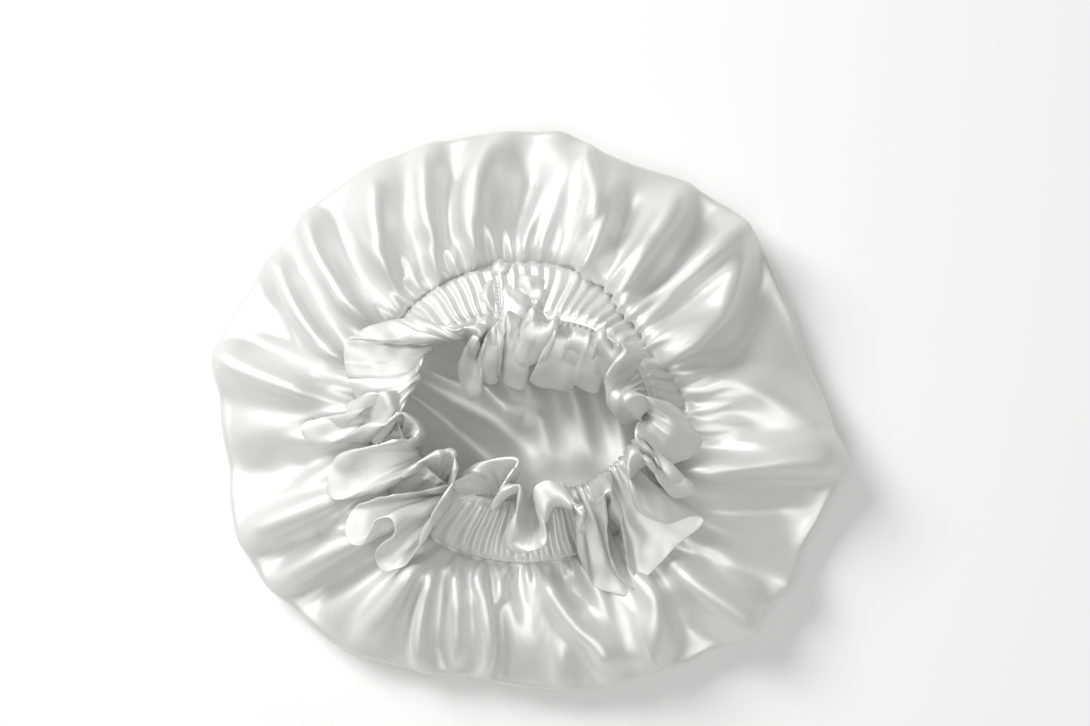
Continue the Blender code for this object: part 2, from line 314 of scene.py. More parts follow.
class NodeSheet:
    """A material's node tree, with one method that adds any node."""

    def __init__(self, name: str) -> None:
        """Makes a new material with a Principled shader.

        Args:
            name: the material's name.
        """
        self.material = bpy.data.materials.new(name)
        self.material.use_nodes = True
        self.tree = self.material.node_tree
        self.surface = self.tree.nodes["Principled BSDF"]

    def node(self, kind: str, settings: dict[str, Any], inputs: dict[Any, Any]) -> bpy.types.Node:
        """Adds a node.

        Args:
            kind: the node's type.
            settings: its own settings, set first.
            inputs: a value, or a link from a Value or an output, for each socket.

        Returns:
            The node.
        """
        node = self.tree.nodes.new(kind)
        for name, value in settings.items():
            setattr(node, name, value)
        for name, value in inputs.items():
            self.set(node, name, value)
        return node

    def set(self, node: bpy.types.Node, name: Any, value: Any) -> None:
        """Sets or links one of a node's sockets.

        Args:
            node: the node.
            name: the socket's name or number.
            value: a Value, an output socket, or a plain value.
        """
        socket = value.socket if isinstance(value, Value) else value
        if isinstance(socket, bpy.types.NodeSocket):
            self.tree.links.new(socket, node.inputs[name])
        else:
            node.inputs[name].default_value = socket

    def blend(self, factor: Any, first: Any, second: Any) -> bpy.types.NodeSocket:
        """Mixes two colours.

        Args:
            factor: the share of the second.
            first: the colour at 0.
            second: the colour at 1.

        Returns:
            The mixed colour's socket.
        """
        node = self.node("ShaderNodeMix", {"data_type": "RGBA"}, {0: factor, 6: first, 7: second})
        return node.outputs[2]

    def place(self) -> bpy.types.NodeSocket:
        """The object's own coordinates, in metres."""
        return self.node("ShaderNodeTexCoord", {}, {}).outputs["Object"]

    def noise(self, per_metre: float, detail: float) -> Value:
        """Noise of about that many spots a metre, from 0 to 1."""
        inputs = {"Vector": self.place(), "Scale": per_metre, "Detail": detail}
        return Value(self, self.node("ShaderNodeTexNoise", {}, inputs).outputs["Fac"])


@dataclass(frozen=True)
class Satin:
    """White doubled satin: a fine weave under long floats that give it a broad gloss."""

    name: str = "satin"
    colour: Colour = (0.90, 0.897, 0.888, 1.0)
    hollow_colour: Colour = (0.84, 0.847, 0.83, 1.0)
    roughness: float = 0.50
    roughness_change: float = 0.10
    gloss_share: float = 0.52
    specular: float = 0.4
    sheen: float = 0.12
    sheen_roughness: float = 0.4
    see_through: float = 0.22
    weave_per_metre: float = 2600.0
    weave_relief: float = 0.05
    weave_depth: float = 0.0002
    weave_detail: float = 2.0
    slub_per_metre: float = 90.0
    slub_detail: float = 4.0

    def material(self) -> bpy.types.Material:
        """The satin's material.

        Returns:
            The new material.
        """
        sheet = NodeSheet(self.name)
        slub = sheet.noise(self.slub_per_metre, self.slub_detail)
        weave = sheet.noise(self.weave_per_metre, self.weave_detail)
        relief = {"Strength": self.weave_relief, "Distance": self.weave_depth, "Height": weave}
        bump = sheet.node("ShaderNodeBump", {}, relief)
        roughness = self.roughness + (slub - 0.5) * self.roughness_change
        sheet.set(sheet.surface, "Base Color", sheet.blend(slub, self.colour, self.hollow_colour))
        sheet.set(sheet.surface, "Roughness", roughness)
        sheet.set(sheet.surface, "Metallic", self.gloss_share)
        sheet.set(sheet.surface, "Specular IOR Level", self.specular)
        sheet.set(sheet.surface, "Sheen Weight", self.sheen)
        sheet.set(sheet.surface, "Sheen Roughness", self.sheen_roughness)
        sheet.set(sheet.surface, "Normal", bump.outputs["Normal"])
        through = sheet.node("ShaderNodeBsdfTranslucent", {}, {"Color": self.colour})
        inputs = {0: self.see_through, 1: sheet.surface.outputs[0], 2: through.outputs[0]}
        both = sheet.node("ShaderNodeMixShader", {}, inputs)
        sheet.set(sheet.tree.nodes["Material Output"], "Surface", both.outputs[0])
        return sheet.material


@dataclass(frozen=True)
class Thread:
    """White polyester sewing thread, twisted."""

    name: str = "thread"
    colour: Colour = (0.86, 0.865, 0.85, 1.0)
    twist_colour: Colour = (0.78, 0.79, 0.77, 1.0)
    twist_per_metre: float = 1800.0
    twist_detail: float = 2.0
    roughness: float = 0.5
    roughness_change: float = 0.2

    def material(self) -> bpy.types.Material:
        """The thread's material.

        Returns:
            The new material.
        """
        sheet = NodeSheet(self.name)
        twist = sheet.noise(self.twist_per_metre, self.twist_detail)
        roughness = self.roughness + twist * self.roughness_change
        sheet.set(sheet.surface, "Base Color", sheet.blend(twist, self.colour, self.twist_colour))
        sheet.set(sheet.surface, "Roughness", roughness)
        return sheet.material


@dataclass(frozen=True)
class WovenElastic:
    """White woven elastic, ribbed along its length."""

    name: str = "woven_elastic"
    colour: Colour = (0.80, 0.80, 0.78, 1.0)
    rib_colour: Colour = (0.72, 0.72, 0.70, 1.0)
    rib_scale: float = 260.0
    rib_waver: float = 1.0
    roughness: float = 0.75
    roughness_change: float = 0.1

    def material(self) -> bpy.types.Material:
        """The elastic's material.

        Returns:
            The new material.
        """
        sheet = NodeSheet(self.name)
        settings = {"wave_type": "RINGS", "rings_direction": "Z"}
        inputs = {"Vector": sheet.place(), "Scale": self.rib_scale, "Distortion": self.rib_waver}
        rib = Value(sheet, sheet.node("ShaderNodeTexWave", settings, inputs).outputs["Fac"])
        roughness = self.roughness + rib * self.roughness_change
        sheet.set(sheet.surface, "Base Color", sheet.blend(rib, self.colour, self.rib_colour))
        sheet.set(sheet.surface, "Roughness", roughness)
        return sheet.material


@dataclass(frozen=True)
class PaleFloor:
    """Plain near-white surface."""

    name: str = "pale_floor"
    colour: Colour = (0.80, 0.796, 0.796, 1.0)
    roughness: float = 0.9
    specular: float = 0.1
    glow_colour: Colour = (1.0, 0.99, 0.99, 1.0)
    glow: float = 0.03

    def material(self) -> bpy.types.Material:
        """The floor's material.

        Returns:
            The new material.
        """
        sheet = NodeSheet(self.name)
        sheet.set(sheet.surface, "Base Color", self.colour)
        sheet.set(sheet.surface, "Roughness", self.roughness)
        sheet.set(sheet.surface, "Specular IOR Level", self.specular)
        sheet.set(sheet.surface, "Emission Color", self.glow_colour)
        sheet.set(sheet.surface, "Emission Strength", self.glow)
        return sheet.material


# The form that all pieces share


class Rim(NamedTuple):
    """The crown's outline at a bearing: its reach and its height, as shares."""

    bearing: float
    reach: float
    lift: float


RIM_ROWS = (
    Rim(2, 0.930, 1.10),
    Rim(12, 0.905, 1.05),
    Rim(30, 0.940, 1.15),
    Rim(50, 0.950, 1.15),
    Rim(68, 0.939, 1.00),
    Rim(77, 0.952, 0.95),
    Rim(84, 1.000, 1.15),
    Rim(94, 0.995, 0.95),
    Rim(105, 1.004, 0.95),
    Rim(120, 1.008, 0.85),
    Rim(135, 1.003, 0.80),
    Rim(148, 0.984, 0.75),
    Rim(160, 1.000, 0.75),
    Rim(170, 1.021, 0.85),
    Rim(179, 0.987, 0.70),
    Rim(189, 0.981, 0.70),
    Rim(202, 1.021, 0.75),
    Rim(216, 1.040, 0.75),
    Rim(229, 1.038, 0.80),
    Rim(240, 1.012, 0.80),
    Rim(252, 0.983, 0.95),
    Rim(260, 0.971, 0.85),
    Rim(268, 0.986, 0.95),
    Rim(282, 1.008, 1.00),
    Rim(296, 0.999, 0.95),
    Rim(301, 1.036, 1.05),
    Rim(316, 1.035, 1.10),
    Rim(330, 1.015, 1.15),
    Rim(342, 1.020, 1.30),
    Rim(348, 1.028, 1.45),
    Rim(354, 0.957, 1.25),
)


class BandRow(NamedTuple):
    """The casing at a bearing: its slope up to the opening, and the seam's height as a share."""

    bearing: float
    slope: float
    lift: float


class LapRow(NamedTuple):
    """How far the crown billows in over the casing's seam at a bearing, in millimetres."""

    bearing: float
    lap: float


LAP_ROWS = (
    LapRow(0, 7.0),
    LapRow(12, 10.0),
    LapRow(24, 17.0),
    LapRow(40, 18.0),
    LapRow(54, 11.0),
    LapRow(68, 3.0),
    LapRow(90, 0.0),
    LapRow(125, 2.0),
    LapRow(150, 5.0),
    LapRow(180, 6.0),
    LapRow(215, 4.0),
    LapRow(240, 0.0),
    LapRow(290, 0.0),
    LapRow(310, 5.0),
    LapRow(335, 7.0),
)

BAND_ROWS = (
    BandRow(0, 52, 0.95),
    BandRow(45, 34, 1.05),
    BandRow(90, 12, 1.10),
    BandRow(135, 36, 1.00),
    BandRow(180, 55, 0.90),
    BandRow(225, 36, 0.95),
    BandRow(270, 10, 1.00),
    BandRow(315, 34, 0.95),
)


class BandFrame(NamedTuple):
    """Where the casing's seam is at some bearings, and which way the casing faces there."""

    seam: np.ndarray
    up_width: np.ndarray
    normal: np.ndarray

    def point(self, along: Any, height: Any) -> np.ndarray:
        """Points that far from the seam up the casing's width, and that far off its middle.

        Args:
            along: how far up the width from the seam, in metres.
            height: how far off the casing's middle, in metres.

        Returns:
            The points, in metres.
        """
        along = np.asarray(along, dtype=float)[..., None]
        height = np.asarray(height, dtype=float)[..., None]
        return self.seam + self.up_width * along + self.normal * height


@dataclass(frozen=True)
class Form:
    """The oval of the seam and the outline of the rim, which all pieces are set out from."""

    crown_width: float = 0.320
    crown_depth: float = 0.287
    rim_height: float = 0.016
    seam_width: float = 0.158
    seam_depth: float = 0.150
    seam_height: float = 0.030
    seam_shift: tuple[float, float] = (-0.0015, -0.0066)

    def rim(self, bearings: np.ndarray) -> np.ndarray:
        """Outermost points of the crown at bearings, the footprint centred on the origin.

        Args:
            bearings: where round the opening, in degrees.

        Returns:
            The points, in metres.
        """
        loose = self._loose(bearings)
        whole = self._loose(evenly(720))
        low, high = whole.min(axis=0), whole.max(axis=0)
        point = np.zeros_like(loose)
        point[:, 0] = ((loose[:, 0] - low[0]) / (high[0] - low[0]) - 0.5) * self.crown_width
        point[:, 1] = ((loose[:, 1] - low[1]) / (high[1] - low[1]) - 0.5) * self.crown_depth
        point[:, 2] = self.rim_height * column(RIM_ROWS, "lift", bearings)
        return point

    def _loose(self, bearings: np.ndarray) -> np.ndarray:
        """The outline before it is fitted to the crown's width and depth.

        Args:
            bearings: where round the opening, in degrees.

        Returns:
            The points, in metres.
        """
        way = level_way(bearings)
        oval = oval_reach(way, self.crown_width, self.crown_depth)
        return way * (oval * column(RIM_ROWS, "reach", bearings))[:, None]

    def band(self, bearings: np.ndarray) -> BandFrame:
        """The casing's frame at bearings.

        Args:
            bearings: where round the opening, in degrees.

        Returns:
            The seam's places and the two ways there.
        """
        way = level_way(bearings)
        seam = way * oval_reach(way, self.seam_width, self.seam_depth)[:, None]
        seam[:, 0] += self.seam_shift[0]
        seam[:, 1] += self.seam_shift[1]
        seam[:, 2] = self.seam_height * column(BAND_ROWS, "lift", bearings)
        slope = np.radians(column(BAND_ROWS, "slope", bearings))[:, None]
        up_width = -way * np.cos(slope) + UP * np.sin(slope)
        normal = way * np.sin(slope) + UP * np.cos(slope)
        return BandFrame(seam, up_width, normal)


@dataclass(frozen=True)
class Gathers:
    """The small pleats that the elastic draws up, shared by the casing and the crown."""

    count: int = 72
    seed: int = 11
    jitter: float = 0.22
    heights: Span = (0.55, 1.15)
    reaches: Span = (0.16, 0.62)
    drift: float = 0.55
    sharpness: float = 1.3

    def rows(self) -> tuple[np.ndarray, np.ndarray, np.ndarray, np.ndarray]:
        """Bearing, height share, reach and drift of each pleat.

        Returns:
            Four arrays, with a value for each pleat.
        """
        draw = np.random.default_rng(self.seed)
        pitch = 360.0 / self.count
        bearing = evenly(self.count) + draw.uniform(-self.jitter, self.jitter, self.count) * pitch
        height = draw.uniform(*self.heights, self.count)
        reach = draw.uniform(*self.reaches, self.count)
        drift = draw.normal(0.0, self.drift, self.count) * pitch
        return bearing, height, reach, drift

    def wave(self, bearings: np.ndarray) -> np.ndarray:
        """Height of the pleats from 0 to 1 at bearings, right at the stitching.

        Args:
            bearings: where round the opening, in degrees.

        Returns:
            The height at each bearing.
        """
        bearing, height, _, _ = self.rows()
        closed = np.concatenate([bearing, [bearing[0] + 360]])
        turned = (bearings - bearing[0]) % 360 + bearing[0]
        low = np.clip(np.searchsorted(closed, turned, side="right") - 1, 0, self.count - 1)
        t = (turned - closed[low]) / (closed[low + 1] - closed[low])
        tall = height[low] * (1 - t) + height[(low + 1) % self.count] * t
        return np.abs(np.cos(math.pi * t)) ** self.sharpness * tall


# The crown


class Fold(NamedTuple):
    """A ridge of the crown, or a hollow where height is below 0, from the seam outwards.

    It runs through three points seen from above. left and right are how far it reaches to each
    side of that line; all in millimetres.
    """

    x0: float
    y0: float
    x1: float
    y1: float
    x2: float
    y2: float
    height: float
    left: float
    right: float


CROWN_FOLDS = (
    # away from the viewer, left to right
    Fold(-65, 54, -73, 85, -73, 121, 7.5, 9.0, 5.0),
    Fold(-58, 47, -62, 60, -66, 73, -5.0, 3.5, 3.0),
    Fold(-48, 49, -51, 66, -53, 85, -4.5, 2.5, 2.5),
    Fold(-45, 55, -49, 105, -47, 131, 5.5, 5.0, 2.8),
    Fold(-39, 60, -39, 105, -38, 131, -7.0, 4.5, 4.5),
    Fold(-36, 60, -37, 85, -30, 126, 5.5, 3.0, 4.0),
    Fold(-29, 60, -30, 85, -25, 105, -4.0, 3.0, 3.0),
    Fold(-26, 62, -27, 100, -9, 139, 8.5, 4.0, 6.0),
    Fold(-4, 78, -2, 108, 3, 133, -9.0, 8.0, 9.0),
    Fold(-3, 65, -2, 80, -1, 98, 3.0, 2.5, 2.5),
    Fold(6, 62, 7, 72, 9, 80, 3.0, 2.5, 2.5),
    Fold(29, 80, 32, 106, 24, 136, 6.5, 9.0, 5.0),
    Fold(24, 55, 37, 75, 44, 116, 8.0, 6.5, 5.0),
    Fold(37, 70, 45, 88, 52, 111, -5.5, 4.5, 4.5),
    Fold(47, 55, 62, 75, 83, 111, 9.0, 8.5, 6.0),
    Fold(52, 49, 78, 75, 88, 111, -6.5, 4.5, 5.5),
    Fold(62, 49, 95, 75, 111, 88, 7.5, 8.0, 7.0),
    Fold(60, 20, 95, 40, 104, 90, 8.5, 16.0, 5.5),
    Fold(82, 10, 113, 33, 121, 78, -7.0, 8.0, 9.0),
    # towards the right
    Fold(80, 16, 116, 0, 150, -24, 4.5, 12.0, 7.0),
    Fold(72, 4, 83, -17, 84, -37, -4.5, 9.0, 9.0),
    Fold(70, -42, 118, -34, 160, -31, 8.0, 12.0, 5.0),
    Fold(86, -78, 116, -88, 140, -93, 6.0, 9.0, 7.0),
    Fold(76, -56, 112, -57, 146, -54, -7.0, 9.0, 13.0),
    Fold(83, -78, 108, -86, 123, -93, -4.5, 5.0, 5.0),
    Fold(67, -84, 92, -99, 116, -112, 9.5, 11.0, 6.0),
    Fold(70, -98, 78, -112, 82, -122, -4.5, 6.0, 6.0),
    Fold(82, -106, 94, -112, 106, -119, 3.0, 5.0, 5.0),
    # towards the viewer, right to left
    Fold(60, -88, 62, -108, 61, -134, 8.5, 5.5, 12.0),
    Fold(19, -88, 24, -96, 27, -104, -5.5, 6.0, 6.0),
    Fold(9, -90, 22, -110, 47, -126, 8.5, 7.0, 5.0),
    Fold(16, -119, 17, -130, 17, -142, 3.0, 6.0, 6.0),
    Fold(32, -119, 37, -129, 42, -139, 3.0, 4.0, 4.0),
    Fold(-24, -83, -23, -110, -23, -136, 5.5, 3.5, 3.0),
    Fold(-31, -83, -30, -110, -30, -135, -3.5, 2.2, 2.2),
    Fold(-35, -83, -35, -110, -35, -135, 4.5, 3.0, 3.0),
    Fold(-40, -83, -40, -110, -41, -135, -4.5, 2.5, 2.5),
    Fold(-45, -83, -46, -108, -49, -135, 5.5, 3.0, 4.0),
    Fold(-50, -80, -63, -98, -83, -121, 9.0, 6.5, 5.0),
    Fold(-55, -93, -68, -109, -78, -119, -4.5, 4.5, 4.5),
    Fold(-66, -72, -90, -86, -116, -102, -7.0, 7.0, 7.0),
    Fold(-74, -66, -96, -76, -132, -92, 8.0, 6.0, 5.0),
    Fold(-96, -63, -116, -75, -129, -86, -5.5, 7.0, 7.0),
    Fold(-84, -46, -112, -58, -142, -66, 8.0, 7.0, 5.0),
    # towards the left
    Fold(-96, -24, -116, -37, -126, -47, -5.0, 7.0, 7.0),
    Fold(-110, -32, -129, -32, -139, -47, -5.5, 9.0, 9.0),
    Fold(-101, -2, -131, 14, -160, 28, 7.5, 9.0, 5.0),
    Fold(-98, 16, -121, 22, -150, 34, -6.0, 7.0, 7.0),
    Fold(-93, 9, -116, 34, -136, 62, -5.5, 8.0, 8.0),
    Fold(-88, 12, -113, 44, -128, 82, 8.0, 7.0, 5.0),
    Fold(-91, 16, -111, 39, -115, 65, 5.0, 3.5, 3.5),
    Fold(-88, 20, -103, 42, -118, 66, -4.0, 4.5, 4.5),
    Fold(-76, 36, -99, 66, -107, 104, 9.5, 7.0, 5.0),
    Fold(-78, 49, -93, 75, -105, 106, -4.5, 5.0, 5.0),
)

FLOOR_FOLDS = (
    Fold(-72, 14, -35, -13, 6, -50, 10.0, 8.0, 10.0),
    Fold(-58, 24, -34, 12, -14, 16, 6.0, 7.0, 8.0),
    Fold(-12, 30, 4, 0, 12, -40, 7.0, 7.0, 9.0),
    Fold(14, 30, 25, 0, 32, -40, 7.0, 6.0, 8.0),
    Fold(34, 26, 47, -8, 52, -50, 9.0, 7.0, 10.0),
    Fold(-25, 14, -12, 0, 4, -10, 3.0, 5.0, 5.0),
)


# a fold's width near the seam and near the rim, as shares of its row, and its section's exponent
SEAM_SPREAD = 0.65
RIM_SPREAD = 1.50
RIDGE_ROUNDNESS = 1.7
HOLLOW_ROUNDNESS = 1.2

# the shares of its line where a fold rises and where it fades, and how much it loses by its end
FOLD_RISE = (-0.02, 0.15)
FOLD_FADE = (0.78, 1.0)
FOLD_LOSS = 0.8


def fold_height(points: np.ndarray, folds: Sequence[Fold], steps: int = 12) -> np.ndarray:
    """How far folds raise a surface.

    Args:
        points: places seen from above, in metres.
        folds: the folds.
        steps: how many straight pieces each fold's line is cut into.

    Returns:
        The height at each point, in metres.
    """
    total = np.zeros(len(points))
    plan = points[:, :2] / MM
    t = np.linspace(0, 1, steps + 1)[:, None]
    for fold in folds:
        start = np.array([fold.x0, fold.y0])
        middle = np.array([fold.x1, fold.y1])
        end = np.array([fold.x2, fold.y2])
        line = bend(start, pull_through(start, middle, end), end, t)
        best = np.full(len(plan), 1e9)
        side = np.zeros(len(plan))
        share = np.zeros(len(plan))
        for i in range(steps):
            way = line[i + 1] - line[i]
            off = plan - line[i]
            along = np.clip(off @ way / (way @ way), 0, 1)
            gap = off - along[:, None] * way
            distance = np.hypot(gap[:, 0], gap[:, 1])
            nearer = distance < best
            best = np.where(nearer, distance, best)
            cross = way[0] * off[:, 1] - way[1] * off[:, 0]
            side = np.where(nearer, cross, side)
            share = np.where(nearer, (i + along) / steps, share)
        spread = SEAM_SPREAD + (RIM_SPREAD - SEAM_SPREAD) * share
        width = np.where(side > 0, fold.left, fold.right) * spread
        roundness = RIDGE_ROUNDNESS if fold.height > 0 else HOLLOW_ROUNDNESS
        profile = np.exp(-((best / width) ** roundness))
        ends = smooth_step(*FOLD_RISE, share) * (1 - FOLD_LOSS * smooth_step(*FOLD_FADE, share))
        ends *= np.exp(-((np.maximum(best / width - 1, 0)) ** 2))
        total += fold.height * profile * ends
    return total * MM


class Link(NamedTuple):
    """A family of threads: the rows and columns that each spans, and how it pulls.

    slack is the share that each is shorter than drawn. A stiffener resists bending.
    """

    rows: int
    columns: int
    strength: float
    slack: float
    stiffener: bool


@dataclass(frozen=True)
class Settling:
    """Lets a closed grid of slack cloth find its folds, pulled taut from seam to rim.

    Each step moves every point towards the places that its threads' lengths ask for.
    """

    steps: int = 300
    round_slack: float = 0.10
    slack_shares: Span = (0.05, 0.75)
    out_pull: float = 0.02
    bias_strength: float = 0.6
    round_stiffness: float = 0.15
    out_stiffness: float = 1.0
    stiff_shares: Span = (0.02, 0.35)
    haste: float = 1.6
    most: float = 0.009

    def _span(self, grid: np.ndarray, link: Link) -> np.ndarray:
        """The way along each of a family's threads."""
        ahead = np.roll(grid, -link.columns, axis=1)
        return ahead[link.rows :] - grid[: len(grid) - link.rows]

    def _length(self, grid: np.ndarray, link: Link, slack: np.ndarray) -> np.ndarray:
        """The threads' own lengths, a stiffener's as long as the threads along it laid straight.

        Args:
            grid: rows of points.
            link: the family of threads.
            slack: each row's share of extra length round the crown.

        Returns:
            A length for each thread, in metres.
        """
        rows, columns = link.rows, link.columns
        if link.stiffener:
            one = link._replace(rows=min(rows, 1), columns=min(columns, 1))
            short = np.linalg.norm(self._span(grid, one), axis=2)
            if rows:
                length = sum(short[i : len(short) - rows + 1 + i] for i in range(rows))
            else:
                length = sum(np.roll(short, -i, axis=1) for i in range(columns))
        else:
            length = np.linalg.norm(self._span(grid, link), axis=2)
        across = (slack[rows:] + slack[: len(slack) - rows])[:, None] / 2
        round_share = 1.0 if not rows else (0.5 if columns else 0.0)
        return length * (1 + round_share * across) * (1 - link.slack)

    def run(self, grid: np.ndarray, shares: np.ndarray) -> np.ndarray:
        """Settles the cloth.

        Args:
            grid: rows of points; the first and the last row are held.
            shares: each row's share of the way from seam to rim.

        Returns:
            The settled rows.
        """
        links = (
            Link(0, 1, 1.0, 0.0, False),
            Link(1, 0, 1.0, self.out_pull, False),
            Link(1, 1, self.bias_strength, self.out_pull / 2, False),
            Link(1, -1, self.bias_strength, self.out_pull / 2, False),
            Link(0, 4, self.round_stiffness, 0.0, True),
            Link(8, 0, self.out_stiffness, self.out_pull, True),
        )
        slack = self.round_slack * (1 - smooth_step(*self.slack_shares, shares))
        stiff = smooth_step(*self.stiff_shares, shares)
        lengths = [self._length(grid, link, slack) for link in links]
        strengths = []
        for link in links:
            part = (stiff if link.stiffener else np.ones(len(shares)))[link.rows :]
            strengths.append((link.strength * part + 1e-6)[:, None, None])
        free = np.ones((len(grid), 1, 1))
        free[0] = free[-1] = 0.0
        place = grid.copy()
        for _ in range(self.steps):
            move = np.zeros_like(place)
            weight = np.zeros((len(place), place.shape[1], 1))
            for link, length, strength in zip(links, lengths, strengths):
                span = self._span(place, link)
                now = np.linalg.norm(span, axis=2)
                pull = strength * ((now - length) / now)[..., None] * span
                stop = len(place) - link.rows
                move[:stop] += pull
                move[link.rows :] -= np.roll(pull, link.columns, axis=1)
                weight[:stop] += strength
                weight[link.rows :] += strength
            place = place + self.haste * free * move / weight
            off = place - grid
            far = np.linalg.norm(off, axis=2, keepdims=True)
            place = grid + off * np.minimum(1.0, self.most / np.maximum(far, 1e-9))
        return place


def drawn_out(rows: np.ndarray, times: int) -> np.ndarray:
    """Rows of values or points, smoothed that many times from row to row, the end rows held.

    Args:
        rows: the rows.
        times: how often they are smoothed.

    Returns:
        The smoothed rows.
    """
    for _ in range(times):
        rows = np.concatenate([rows[:1], (rows[:-2] + 2 * rows[1:-1] + rows[2:]) / 4, rows[-1:]])
    return rows


@dataclass
class Crown:
    """The doubled satin pouch, from its edge in the casing round the rim to its floor."""

    form: Form
    gathers: Gathers
    columns: int = 512
    top_rows: int = 96
    turn_rows: int = 10
    floor_rows: int = 44
    wall: float = 0.0012
    rim_tuck: float = 0.020
    crest_rise: float = 0.010
    crest_power: float = 0.78
    reach_power: float = 1.15
    fall_power: float = 1.5
    row_crowding: float = 1.12
    gather_height: float = 0.0034
    gather_spread: float = 2.2
    gather_drift: float = 3
    gather_hold: float = 0.25
    gather_start: Span = (-0.01, 0.05)
    seam_tuck: float = 0.0040
    clearance: float = 0.0010
    small_folds: int = 46
    small_seed: int = 23
    small_stray: float = 0.4
    small_turn: float = 3.0
    small_reaches: Span = (0.25, 0.60)
    small_heights: Span = (1.2, 2.8)
    small_widths: Span = (1.6, 3.4)
    lap_share: float = 0.36
    lap_swell: float = 3.15
    lap_rise: float = 0.95
    smoothing: int = 12
    fold_scale: float = 1.60
    fold_start: Span = (0.0, 0.08)
    fold_end: Span = (0.92, 1.0)
    fold_lost: float = 0.30
    dent: float = 0.0006
    dent_pitch: float = 0.045
    floor_end: float = 0.06
    floor_halved: Span = (0.10, 0.3)
    floor_dent: float = 0.0008
    floor_dent_pitch: float = 0.035
    floor_calm: Span = (0.085, 0.115)

    def _top(self, bearings: np.ndarray, share: float) -> np.ndarray:
        """The crown's smooth form between the seam, at share 0, and the rim, at share 1.

        Near the seam it swells in over the casing by LAP_ROWS.

        Args:
            bearings: where round the opening, in degrees.
            share: the share of the way.

        Returns:
            The points, in metres.
        """
        seam = self.form.band(bearings).point(-self.clearance, 0.0)
        rim = self.form.rim(bearings)
        quarter = math.pi / 2 * share
        point = seam + (rim - seam) * (1 - (1 - share) ** self.reach_power)
        crest = self.crest_rise * math.sin(math.pi * share**self.crest_power)
        fall = 0.5 * math.cos(quarter) + 0.5 * (1 - share**self.fall_power)
        point[:, 2] = rim[:, 2] + (seam[:, 2] - rim[:, 2]) * fall + crest
        near = min(1.0, share / self.lap_share)
        billow = self.lap_swell * math.sqrt(near) * (1 - near) ** 2
        over = UP * self.lap_rise - level_way(bearings)
        return point + over * (column(LAP_ROWS, "lap", bearings) * MM * billow)[:, None]

    def _turn(self, bearings: np.ndarray, share: float) -> np.ndarray:
        """The crown between the rim, at share 0, and where it meets the floor, at share 1.

        Args:
            bearings: where round the opening, in degrees.
            share: the share of the way.

        Returns:
            The points, in metres.
        """
        quarter = math.pi / 2 * share
        rim = self.form.rim(bearings)
        point = rim - level_way(bearings) * self.rim_tuck * (1 - math.cos(quarter))
        low = self.wall / 2
        point[:, 2] = low + (rim[:, 2] - low) * (1 - math.sin(quarter))
        return point

    def _pleats(self, bearings: np.ndarray, share: float) -> np.ndarray:
        """Height of the small pleats that fan out from the seam.

        Args:
            bearings: where round the opening, in degrees.
            share: the share of the way from seam to rim.

        Returns:
            The height at each bearing, in metres.
        """
        where, height, reach, drift = self.gathers.rows()
        total = np.zeros(len(bearings))
        half = 0.5 * 360 / self.gathers.count * (1 + self.gather_spread * share)
        for at, tall, far, shift in zip(where, height, reach, drift):
            fade = 1 - float(smooth_step(self.gather_hold * far, far, share))
            if fade > 0:
                off = (bearings - at - shift * self.gather_drift * share + 180) % 360 - 180
                near = np.clip(np.abs(off) / half, 0, 1)
                total += tall * fade * (1 + np.cos(math.pi * near)) / 2
        return total * self.gather_height * float(smooth_step(*self.gather_start, share))

    def _small(self) -> list[Fold]:
        """Seeded ridges and hollows between the gathers and the large folds.

        Returns:
            The folds.
        """
        draw = np.random.default_rng(self.small_seed)
        folds = []
        for i in range(self.small_folds):
            bearing = (i + draw.uniform(-self.small_stray, self.small_stray)) * 360
            bearing /= self.small_folds
            turned = bearing + draw.normal(0, self.small_turn, 2)
            seam = self.form.band(np.array([bearing])).seam[0] / MM
            rim = self.form.rim(turned) / MM
            far = draw.uniform(*self.small_reaches)
            middle = seam + (rim[0] - seam) * far * 0.5
            end = seam + (rim[1] - seam) * far
            height = draw.uniform(*self.small_heights) * (1 if i % 2 else -1)
            left, right = draw.uniform(*self.small_widths, 2)
            ends = (*seam[:2], *middle[:2], *end[:2])
            folds.append(Fold(*ends, height, left, right))
        return folds

    def build(self, material: bpy.types.Material) -> bpy.types.Object:
        """Makes the crown.

        Args:
            material: its satin.

        Returns:
            The crown's object.
        """
        bearings = evenly(self.columns)
        shares = np.linspace(0, 1, self.top_rows) ** self.row_crowding
        smooth = np.stack([self._top(bearings, share) for share in shares])
        flat = smooth.reshape(-1, 3)
        lift = self.fold_scale * fold_height(flat, CROWN_FOLDS) + fold_height(flat, self._small())
        lift += self.dent * soft_noise(flat, self.dent_pitch, 5)
        lift = drawn_out(lift.reshape(smooth.shape[:2]), 3 * self.smoothing)
        fade = 1 - self.fold_lost * smooth_step(*self.fold_end, shares)
        fade = smooth_step(*self.fold_start, shares) * fade
        lift *= fade[:, None]
        lift += np.stack([self._pleats(bearings, share) for share in shares])
        top = smooth + normals(smooth) * lift[..., None]
        edge = top[-1] - smooth[-1]
        turns = np.linspace(0, 1, self.turn_rows + 1)[1:]
        turn = np.stack([self._turn(bearings, share) + edge * (1 - share) ** 2 for share in turns])
        along = np.concatenate([shares, np.ones(self.turn_rows)])
        skin = Settling().run(np.concatenate([top, turn]), along)
        skin = drawn_out(skin, self.smoothing)
        skin[:, :, 2] = np.maximum(skin[:, :, 2], self.wall / 2)
        cloth = Cloth()
        band = self.form.band(bearings)
        rings = [cloth.ring(band.point(self.seam_tuck, 0.0))]
        rings += [cloth.ring(row) for row in skin]
        floor_at = self._turn(bearings, 1.0)
        few, half = self.floor_halved
        for share in np.linspace(1, self.floor_end, self.floor_rows)[1:]:
            every = 2 if share > half else 4 if share >= few else 8
            row = floor_at[::every] * share
